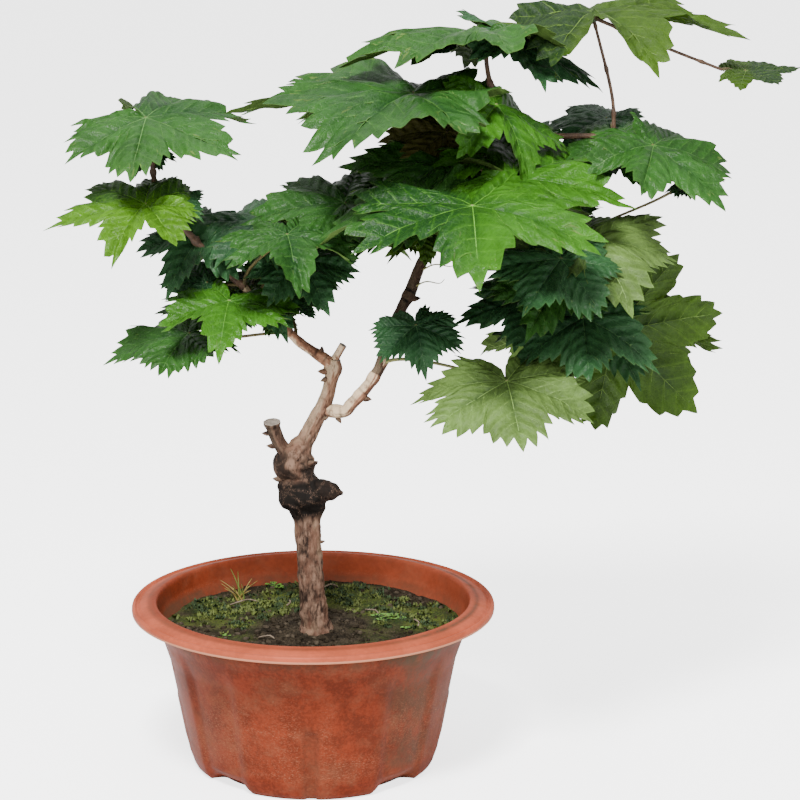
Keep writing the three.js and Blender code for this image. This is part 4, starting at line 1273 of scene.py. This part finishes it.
class VINE_OT_boughs(bpy.types.Operator):
    """Builds the two boughs and the canes that run on from them, with their joints and buds"""

    bl_idname = "vine.boughs"
    bl_label = "Boughs and canes"

    def execute(self, context):
        settings = context.scene.vine_wood
        rng = random.Random(SEED + 2)
        finish = {"scale": 160.0, "flecks": 0.5, "depth": 0.0005, "coarse": 500.0}
        cane = plain_material("cane_brown", tinted(settings.shoot, 1.3), tinted(settings.shoot, 0.5), **finish)
        for name in BOUGHS:
            self.bough(name, settings.relief, rng)
        bag = Bag()
        for name, stem in cane_lines().items():
            if name in BOUGHS:
                continue
            relief = bark_relief(rng.randint(1, 90), 0.07, (6, 12, 24))

            def bulge(u, v, relief=relief):
                beat = np.abs(((v / CANE_JOINTS) % 1) - 0.5)
                return relief(u, v) + 0.45 * smooth(0.12, 0.0, beat)

            tube(bag, *stem, 24, bulge, start=True)
        keep(bag.object("canes_bark", [cane]), "shaded_cane", *CANES)
        return {"FINISHED"}

    def bough(self, name, depth, rng):
        line, radii, ways = through(stem_rows(name, BOUGHS[name]), 0.0007)
        long = np.linalg.norm(np.diff(line, axis=0), axis=1).sum()
        knots = [rng.uniform(0.1, 0.25) + k * rng.uniform(0.3, 0.42) for k in range(3)]
        relief = bark_relief(rng.randint(1, 90), depth * 0.95, (7, 15, 33), 2.6)
        young_start, young_end, dark = BOUGH_TONES[name]

        def bulge(u, v):
            return relief(u, v) + 0.16 * sum(np.exp(-(((v / long - k) * long / 0.0035) ** 2)) for k in knots)

        def young(u, v, lift):
            return young_start + (young_end - young_start) * np.clip(v / long, 0, 1)

        def char(u, v, lift):
            """Dark creases on both sides of every joint, over the bough's darkness all along, which on the upper
            bough is painted shade under the crown.
            """
            crease = sum(np.exp(-(((np.abs(v - k * long) - 0.0042) / 0.0009) ** 2)) for k in knots)
            return np.clip(dark + 0.8 * crease * noise(u, v, (9, 200), 17, 9), 0, 1)

        bag = Bag("ridge", "char", "young")
        tube(bag, line, radii, ways, 64, bulge, ridge=ridge_value(depth), young=young, char=char)
        shaded = name == "bough_upper"
        for k in knots if shaded else knots[:2]:
            i = min(len(line) - 2, int(k * len(line)))
            turn = rng.choice([-1, 1])
            side = Vector(ways[i]).cross(Vector((0, 1, 0))).normalized() * turn
            aim = side + Vector(ways[i]) * 0.7 + Vector((0, -0.3, 0))
            bud(bag, Vector(line[i]) + side * radii[i], aim, rng.uniform(0.0032, 0.0046), rng, young=0.2, char=0.5)
        piece = bag.object(name + "_bark", [bpy.data.materials["vine_bark"]])
        keep(piece, "shaded_cane" if shaded else "young_cane", name)


# ---------------------------------------------------------------- leaves
# Turns from the tip, in degrees, of the ends of the lobes and the depths of the bays between them.
LOBE_TURNS = np.array([0.0, 28.0, 56.0, 84.0, 104.0, 132.0, 152.0, 172.0, 180.0])
TOOTH = 8.0
MAIN_VEINS = (0.0, 56.0, -56.0, 104.0, -104.0, 152.0, -152.0)
VEIN_STEP = 0.15
RINGS = np.array([0.03, 0.18, 0.36, 0.54, 0.70, 0.84, 0.95, 1.0])
SMALL_RINGS = np.array([0.04, 0.25, 0.50, 0.75, 0.92, 1.0])
TURNS = 270
SMALL_TURNS = 180
LEAF_TINTS = ("deep", "mid", "bright", "lime", "olive", "russet", "pale")
LEAF_GLOSS = {"under": 0.6, "pale": 0.40, "olive": 0.40, "russet": 0.5}
# dark and the turn after it lay painted shade over one side of a blade.
LEAF_SHAPE = {
    "wide": 1.0, "droop": 0.12, "fold": 0.0, "wave": 0.055, "tooth": 0.15, "blunt": 1.5, "dark": 0.0, "dark_turn": 90,
}


class Leaf:
    """One blade in its own frame: X across, Y to the tip, Z up, from where its stalk joins it.

    wide stretches it across, droop, fold and wave bend it, deep is how far out the bays reach,
    tooth is the depth of its teeth, blunt rounds its lobes, and dark lays painted shade over the
    part of it that lies towards the turn given with it.
    """

    def __init__(self, rng, quilt, deep=None, **changes):
        cut = rng.uniform(0.56, 0.76) if deep is None else deep
        low = cut - rng.uniform(0.0, 0.10)
        middle, lower = rng.uniform(0.88, 0.97), rng.uniform(0.76, 0.88)
        back = [rng.uniform(*span) for span in ((0.56, 0.66), (0.60, 0.70), (0.20, 0.34))]
        self.reach = np.array([1.0, cut, middle, low, lower, *back, 0.06])
        self.other = self.reach * np.array([1, *[rng.uniform(0.93, 1.07) for _ in range(7)], 1])
        self.quilt = quilt
        for name, value in {**LEAF_SHAPE, **changes}.items():
            setattr(self, name, value)
        self.phase = [rng.uniform(0, math.tau) for _ in range(3)]
        self.bend = [rng.uniform(-0.24, 0.10) for _ in MAIN_VEINS]
        self.seed = rng.randint(1, 999)

    def edge(self, turn):
        """How far the margin is from the stalk, at a turn from the tip in degrees."""
        turn = (np.asarray(turn, float) + 180) % 360 - 180
        size = np.abs(turn)
        k = np.clip(np.searchsorted(LOBE_TURNS, size, side="right") - 1, 0, len(LOBE_TURNS) - 2)
        t = (size - LOBE_TURNS[k]) / (LOBE_TURNS[k + 1] - LOBE_TURNS[k])
        near = np.where(turn >= 0, self.reach[k], self.other[k])
        far = np.where(turn >= 0, self.reach[k + 1], self.other[k + 1])
        full = np.where(near > far, t**self.blunt, 1 - (1 - t) ** self.blunt)
        body = near + (far - near) * full
        lobe = np.min([np.abs(size - v) for v in MAIN_VEINS[::2]], axis=0)
        body = body * (1 + 0.06 * np.exp(-((lobe / 4.5) ** 2)))
        cell = np.floor(size / TOOTH + 0.5)
        saw = 1 - 2 * np.abs(size / TOOTH - cell)
        big = 0.45 + 1.0 * noise(cell / 24 + (turn >= 0), 0.5, (24, 1), self.seed)
        fade = smooth(0.10, 0.40, body)
        return body * (1 + fade * self.tooth * big * (saw - 0.5))

    def lift(self, x, y):
        """Height of the blade at points of its own frame, with the share of the way to its margin,
        the turn from the nearest main vein and the count of side veins passed."""
        turn = np.degrees(np.arctan2(x, y))
        r = np.hypot(x, y)
        f = r / np.maximum(self.edge(turn), 0.05)
        gap = np.full(np.shape(turn), 999.0)
        long = np.ones(np.shape(turn))
        lobes = np.zeros(np.shape(turn))
        for v, b in zip(MAIN_VEINS, self.bend):
            off = np.abs((turn - v + 180) % 360 - 180)
            long = np.where(off < gap, float(self.edge(v)), long)
            gap = np.minimum(gap, off)
            lobes += b * np.exp(-((off / 20) ** 2))
        near = np.radians(np.minimum(gap, 60))
        beat = r * (np.cos(near) - 0.88 * np.sin(near)) / (VEIN_STEP * long)
        puff = np.sin(np.clip(gap / 25, 0, 1) * math.pi / 2) ** 0.7
        fine = noise(x + 3, y + 3, (9, 9), self.seed) - 0.5
        a = np.radians(turn)
        z = -self.droop * r**2 + self.fold * np.abs(x) + lobes * r**2
        z += self.quilt * (puff * smooth(0.0, 0.3, r) * (1 - 0.3 * f) + 0.9 * fine * smooth(0.1, 0.6, f))
        first, second, third = self.phase
        z += self.wave * f**3 * (np.sin(5 * a + first) + 0.7 * np.sin(8 * a + second) + 0.4 * np.sin(13 * a + third))
        return z - 0.02 * smooth(0.85, 1.0, f), f, gap, beat

    def build(self, bag, put, size, thickness, slots, shade, small):
        """Adds the blade, as a thin closed sheet, and its veins. put moves points into place."""
        n, shares = (SMALL_TURNS, SMALL_RINGS) if small else (TURNS, RINGS)
        turn = np.arange(n) * 360 / n - 180
        edge = self.edge(turn)
        a = np.radians(turn)
        x = shares[:, None] * edge * np.sin(a)
        y = shares[:, None] * edge * np.cos(a)
        z, f, gap, beat = self.lift(x, y)
        half = 0.5 * thickness / size * (1 - 0.6 * smooth(0.9, 1.0, shares))[:, None]
        flat = np.stack([x * self.wide, y], -1)
        upper = np.concatenate([flat, (z + half)[..., None]], -1).reshape(-1, 3)
        lower = np.concatenate([flat, (z - half)[..., None]], -1).reshape(-1, 3)
        rings = len(shares)
        quads = grid_quads(rings, n)
        tone = 0.44 + shade + 0.22 * (f - 0.55) - 0.12 * smooth(9, 0, gap) * smooth(1.05, 0.5, f)
        tone = tone + 0.22 * (noise(x + 5, y + 5, (4, 4), self.seed + 1) - 0.5) + 0.14 * smooth(0.93, 1.0, f)
        # Painted shade: the part of the blade towards the given turn is darkened by dark.
        dark_way = math.radians(self.dark_turn)
        toward = x * math.sin(dark_way) + y * math.cos(dark_way)
        tone = tone - abs(self.dark) * smooth(-0.05, 0.3, toward * np.sign(self.dark))
        tone, beat = np.clip(tone, 0, 1).ravel(), beat.ravel()
        bag.add(put(upper * size), quads[:, ::-1], slot=slots["top"], tone=tone, beat=beat)
        bag.add(put(lower * size), quads, slot=slots["under"], tone=tone, beat=beat)
        last = (rings - 1) * n
        rim = np.concatenate([upper[last:], lower[last:]])
        bag.add(put(rim * size), grid_quads(2, n)[:, ::-1], slot=slots["under"], tone=0.5)
        middle = float(z[0].mean())
        fan = np.array([[j, (j + 1) % n, n] for j in range(n)])
        for skin, sign, faces, slot in ((upper, 1, fan, "top"), (lower, -1, fan[:, ::-1], "under")):
            heart = np.vstack([skin[:n], [[0, 0, middle + sign * half[0, 0]]]])
            bag.add(put(heart * size), tris=faces, slot=slots[slot], tone=0.3)
        mains = [(v, 0.0, float(self.edge(v)) * 0.97, 0) for v in MAIN_VEINS]
        self.veins(bag, put, size, thickness, slots, mains, 12)
        if small:
            return
        branches = []
        for v in MAIN_VEINS:
            long = float(self.edge(v))
            for k in range(1, 4 if abs(v) > 120 else 6):
                start = k * VEIN_STEP * long
                branches += [(v, start, (long - start) * 0.62, side) for side in (-1, 1)]
        self.veins(bag, put, size, thickness, slots, branches, 5)

    def veins(self, bag, put, size, thickness, slots, rows, steps):
        """Veins as low ridges above and higher ones below. rows are (main vein, start, length, side)."""
        t = np.linspace(0.0, 1.0, steps)[None, :, None]
        a = np.radians([row[0] for row in rows])
        side = np.array([row[3] for row in rows], float)
        start, long = (np.array([row[k] for row in rows])[:, None, None] for k in (1, 2))
        way = np.stack([np.sin(a), np.cos(a)], -1)[:, None]
        b = a + side * math.radians(46)
        aim = np.stack([np.sin(b), np.cos(b)], -1)[:, None]

        def line_of(reach):
            return way * start + reach * t * aim + 0.1 * reach * t * t * way * np.abs(side)[:, None, None]

        line = line_of(long)
        inside = (self.lift(line[..., 0], line[..., 1])[1] < 0.95).cumprod(axis=1).sum(axis=1)
        line = line_of(long * ((inside - 1) / (steps - 1))[:, None, None])
        kept = inside > 2
        line, side = line[kept], side[kept]
        along = np.gradient(line, axis=1)
        along /= np.linalg.norm(along, axis=-1, keepdims=True) + 1e-9
        across = np.stack([along[..., 1], -along[..., 0]], -1)
        width = np.where(side == 0, 0.010, 0.0042)[:, None] * (1 - 0.75 * t[0, :, 0])
        half = 0.5 * thickness / size
        skins = []
        for off, up in ((-0.5, -0.1), (0.0, 1.0), (0.5, -0.1)):
            p = line + across * width[..., None] * off
            skins.append((p, self.lift(p[..., 0], p[..., 1])[0], up * width))
        for sign, slot, rise in ((1, "vein", 0.40), (-1, "under_vein", 1.0)):
            heights = [z + sign * (half + rise * up) for _, z, up in skins]
            strips = [np.concatenate([p * (self.wide, 1), h[..., None]], -1) for (p, _, _), h in zip(skins, heights)]
            points = np.stack(strips, 2)
            quads = grid_quads(steps, 3, wrap=False)
            quads = (quads[None] + (np.arange(len(line)) * steps * 3)[:, None, None]).reshape(-1, 4)
            quads = quads if sign < 0 else quads[:, ::-1]
            bag.add(put(points.reshape(-1, 3) * size), quads, slot=slots[slot], tone=0.5)


def leaf_axes(heading, lean):
    """Across, tip and up directions of a leaf that heads one way and leans to a side."""
    turn, tilt = (math.radians(v) for v in lean)
    h = math.radians(heading)
    up = Vector((math.sin(tilt) * math.cos(turn), math.sin(tilt) * math.sin(turn), math.cos(tilt)))
    tip = Vector((math.cos(h), math.sin(h), 0))
    tip.z = -(tip.x * up.x + tip.y * up.y) / up.z
    tip.normalize()
    return tip.cross(up), tip, up


def leaf_materials(settings):
    made = {}
    for name in (*LEAF_TINTS, "under"):
        base = getattr(settings, name)
        dark = tinted(base, 0.32, (0.0, 0.004, 0.005))
        made[name] = leaf_material("leaf_" + name, base, dark, LEAF_GLOSS.get(name, 0.25))
        light, dark = tinted(base, 2.4, (0.03, 0.03, 0.01)), tinted(base, 1.6, (0.01, 0.01, 0.0))
        made[name + "_vein"] = plain_material("vein_" + name, light, dark, rough=0.5, scale=90.0)
    return made


def small_leaves(mass, rng, number):
    """Young leaves under the big ones of a mass, set by a seeded rule."""
    made = []
    for _ in range(number):
        x, y, z = LEAVES[mass][rng.randrange(len(LEAVES[mass]))][0]
        at = (x + rng.uniform(-0.22, 0.22), y + rng.uniform(0.0, 0.35), z - rng.uniform(0.25, 0.50))
        tint = rng.choice(["deep", "mid", "deep", "olive"])
        reach, heading = rng.uniform(20, 36), rng.uniform(0, 360)
        made.append((at, reach, heading, (rng.uniform(-120, -60), rng.uniform(5, 35)), tint, {}))
    return made


def all_leaves(settings):
    """Every leaf with its mass and whether it is a small one."""
    rng = random.Random(SEED + 3)
    made = []
    for mass, rows in LEAVES.items():
        extra = small_leaves(mass, rng, settings.small) if mass in DEEP_MASSES else []
        made += [(mass, row, False) for row in rows] + [(mass, row, True) for row in extra]
    return made


class VINE_OT_leaves(bpy.types.Operator):
    """Builds the leaves of every mass, each blade with its lobes, teeth, quilting and veins"""

    bl_idname = "vine.leaves"
    bl_label = "Leaves"

    def execute(self, context):
        settings = context.scene.vine_leaf
        materials = leaf_materials(settings)
        rng = random.Random(SEED + 4)
        by_mass = {}
        for mass, row, small in all_leaves(settings):
            by_mass.setdefault(mass, []).append((row, small))
        for mass, rows in by_mass.items():
            used, bag = [], Bag("tone", "beat")
            for (shares, reach, heading, lean, tint, changes), small in rows:
                at = np.array(spot(mass, shares))
                axes = np.array([list(v) for v in leaf_axes(heading, lean)])
                below = "olive" if tint == "olive" else "under"
                parts = {"top": tint, "under": below, "vein": tint + "_vein", "under_vein": below + "_vein"}
                used += [name for name in dict.fromkeys(parts.values()) if name not in used]
                slots = {part: used.index(name) for part, name in parts.items()}

                def put(points, at=at, axes=axes):
                    return points @ axes + at

                leaf = Leaf(rng, settings.quilt, **changes)
                shade = rng.uniform(-0.09, 0.09)
                leaf.build(bag, put, reach * MM, settings.thickness, slots, shade, small)
            piece = bag.object("leaves_" + mass.removeprefix("crown_"), [materials[n] for n in used])
            keep(piece, SLOT_OF[mass], mass)
        return {"FINISHED"}


# Tendrils: (stem, share of its length, own length, aim).
TENDRILS = (
    ("bough_upper", 0.62, 0.034, (1.0, -0.3, 0.25)), ("bough_upper", 0.52, 0.030, (1.0, -0.5, 0.3)),
    ("cane_left_top", 0.9, 0.03, (0.9, -0.4, -0.15)), ("cane_left", 0.8, 0.055, (-1.0, -0.4, 0.15)),
    ("cane_right_upper", 0.9, 0.05, (-0.3, -0.3, -0.9)), ("cane_upper", 0.8, 0.05, (-0.8, -0.3, 0.4)),
)


class VINE_OT_stalks(bpy.types.Operator):
    """Runs a stalk from the nearest cane to every leaf, and adds tendrils"""

    bl_idname = "vine.stalks"
    bl_label = "Stalks and tendrils"

    def execute(self, context):
        wood = context.scene.vine_wood
        rng = random.Random(SEED + 5)
        lines = {name: line for name, (line, _, _) in cane_lines().items()}
        spots = np.vstack(list(lines.values()))
        bag = Bag()
        for mass, (shares, reach, heading, lean, tint, _), _ in all_leaves(context.scene.vine_leaf):
            end = spot(mass, shares)
            _, tip, up = leaf_axes(heading, lean)
            below = np.maximum(0, spots[:, 2] - end.z + 0.004)
            far = np.linalg.norm(spots - np.array(end), axis=1) + 1.5 * below
            root = Vector(spots[int(far.argmin())])
            span = (end - root).length
            if span < 0.004:
                continue
            sway = Vector((rng.uniform(-0.3, 0.3), rng.uniform(-0.3, 0.3), 0))
            leave = (end - root).normalized() * 0.3 + Vector((0, 0, 0.5)) + sway
            a = root + leave * span * 0.35
            b = end - tip * span * 0.22 - up * span * 0.20
            rows = []
            for t in np.linspace(0, 1, 9):
                p = root * (1 - t) ** 3 + a * 3 * t * (1 - t) ** 2 + b * 3 * t * t * (1 - t) + end * t**3
                thick = (0.0009 + 0.0045 * reach * MM) * (1 + 0.55 * (1 - t) ** 6 + 0.35 * t**8)
                rows.append((p, thick))
            rows[-1] = (end - up * 0.0004, rows[-1][1])
            tube(bag, *through(rows, 0.0022), 10, slot=0 if tint in ("bright", "lime", "pale") else 1)
        for stem, along, long, way in TENDRILS:
            root = Vector(lines[stem][int(along * (len(lines[stem]) - 1))])
            aim = Vector(way).normalized()
            side = aim.cross(Vector((0, 1, 0.3))).normalized()
            rows = []
            for t in np.linspace(0, 1, 14):
                hook = 0.16 * long * t * t * math.sin(7 * t)
                arch = Vector((0, 0, 0.12 * long * math.sin(math.pi * t)))
                rows.append((root + aim * long * t + side * hook + arch, 0.0008 * (1 - 0.7 * t)))
            tube(bag, *through(rows, 0.0016), 7)
        light, dark = tinted(wood.stalk, 1.5), tinted(wood.stalk, 0.8)
        green = plain_material("stalk_green", light, dark, rough=0.5, scale=120.0)
        light, dark = tinted(wood.stalk, 0.7, (0.03, 0, 0)), tinted(wood.stalk, 0.35, (0.015, 0, 0))
        brown = plain_material("stalk_brown", light, dark, rough=0.55, scale=120.0)
        keep(bag.object("stalks_and_tendrils", [green, brown]), "young_cane", "stalk_middle", "stalk_right_front")
        return {"FINISHED"}


# ---------------------------------------------------------------- stage
FLOOR_REACH = 30
WHITE = (1, 1, 1, 1)
# Lights: (name, place from the middle of the plant, width, the setting with its power).
LIGHTS = (
    ("key_light", (-0.4, -1.6, 2.1), 0.6, "key"),
    ("fill_light", (1.8, -1.7, 0.9), 1.6, "fill"),
    ("top_light", (0.2, 0.9, 2.2), 1.4, "fill"),
)


class VINE_OT_stage(bpy.types.Operator):
    """Adds the floor, soft light and the camera"""

    bl_idname = "vine.stage"
    bl_label = "Stage"

    def execute(self, context):
        settings = context.scene.vine_stage
        self.floor(settings)
        self.sky(context.scene, settings)
        self.lights(context.scene, settings)
        self.camera(context.scene, settings)
        return {"FINISHED"}

    def floor(self, settings):
        corners = [(x * FLOOR_REACH, y * FLOOR_REACH, 0) for x, y in ((-1, -1), (1, -1), (1, 1), (-1, 1))]
        pale, s, shader = material("floor_pale")
        seen = s.node("ShaderNodeLightPath").outputs["Is Camera Ray"]
        look = {
            "Base Color": (0.9, 0.9, 0.9, 1), "Roughness": 0.9, "Specular IOR Level": 0.1, "Emission Color": WHITE,
            "Emission Strength": s.math("MULTIPLY", seen, settings.glow),
        }
        feed(s.tree, shader.inputs, look)
        mesh_object("floor", corners, quads=[[0, 1, 2, 3]], materials=[pale])

    def sky(self, scene, settings):
        world = bpy.data.worlds.new("even_sky")
        world.use_nodes = True
        air = Shader(world.node_tree)
        seen = air.node("ShaderNodeLightPath").outputs["Is Camera Ray"]
        strength = air.math("ADD", air.math("MULTIPLY", seen, settings.glow), settings.sky)
        feed(air.tree, world.node_tree.nodes["Background"].inputs, {"Color": WHITE, "Strength": strength})
        scene.world = world

    def lights(self, scene, settings):
        low, high = CAD_BOX
        centre = (low + high) / 2
        for name, place, size, power in LIGHTS:
            data = bpy.data.lights.new(name, "AREA")
            data.size, data.energy = size, getattr(settings, power)
            lamp = bpy.data.objects.new(name, data)
            lamp.location = centre + Vector(place)
            lamp.rotation_euler = (centre - lamp.location).to_track_quat("-Z", "Y").to_euler()
            scene.collection.objects.link(lamp)

    def camera(self, scene, settings):
        data = bpy.data.cameras.new("camera")
        data.lens, data.sensor_width = settings.lens, 36
        camera = bpy.data.objects.new("camera", data)
        camera.location = (settings.aside, -settings.back, settings.up)
        camera.rotation_euler = (math.radians(90) - settings.pitch, 0, 0)
        scene.collection.objects.link(camera)
        bpy.context.scene.camera = camera


class VINE_PT_panel(bpy.types.Panel):
    """Lists the pieces of the vine"""

    bl_label = "Potted grapevine"
    bl_idname = "VINE_PT_panel"
    bl_space_type = "VIEW_3D"
    bl_region_type = "UI"
    bl_category = "Vine"

    def draw(self, context):
        for operator in OPERATORS:
            self.layout.operator(operator.bl_idname)
        for key in SETTINGS:
            box = self.layout.box()
            box.label(text=key.removeprefix("vine_").capitalize())
            group = getattr(context.scene, key)
            for name in group.__annotations__:
                box.prop(group, name)


SETTINGS = {
    "vine_pot": VinePotSettings,
    "vine_soil": VineSoilSettings,
    "vine_wood": VineWoodSettings,
    "vine_leaf": VineLeafSettings,
    "vine_stage": VineStageSettings,
}
OPERATORS = (
    VINE_OT_stage, VINE_OT_pot, VINE_OT_soil, VINE_OT_litter, VINE_OT_trunk, VINE_OT_boughs, VINE_OT_leaves,
    VINE_OT_stalks,
)


def register():
    for cls in (*SETTINGS.values(), *OPERATORS, VINE_PT_panel):
        bpy.utils.register_class(cls)
    for key, cls in SETTINGS.items():
        setattr(bpy.types.Scene, key, bpy.props.PointerProperty(type=cls))


def unregister():
    for key in SETTINGS:
        delattr(bpy.types.Scene, key)
    for cls in reversed((*SETTINGS.values(), *OPERATORS, VINE_PT_panel)):
        bpy.utils.unregister_class(cls)


def main():
    register()
    for operator in OPERATORS:
        family, name = operator.bl_idname.split(".")
        getattr(getattr(bpy.ops, family), name)()


if __name__ == "__main__":
    main()
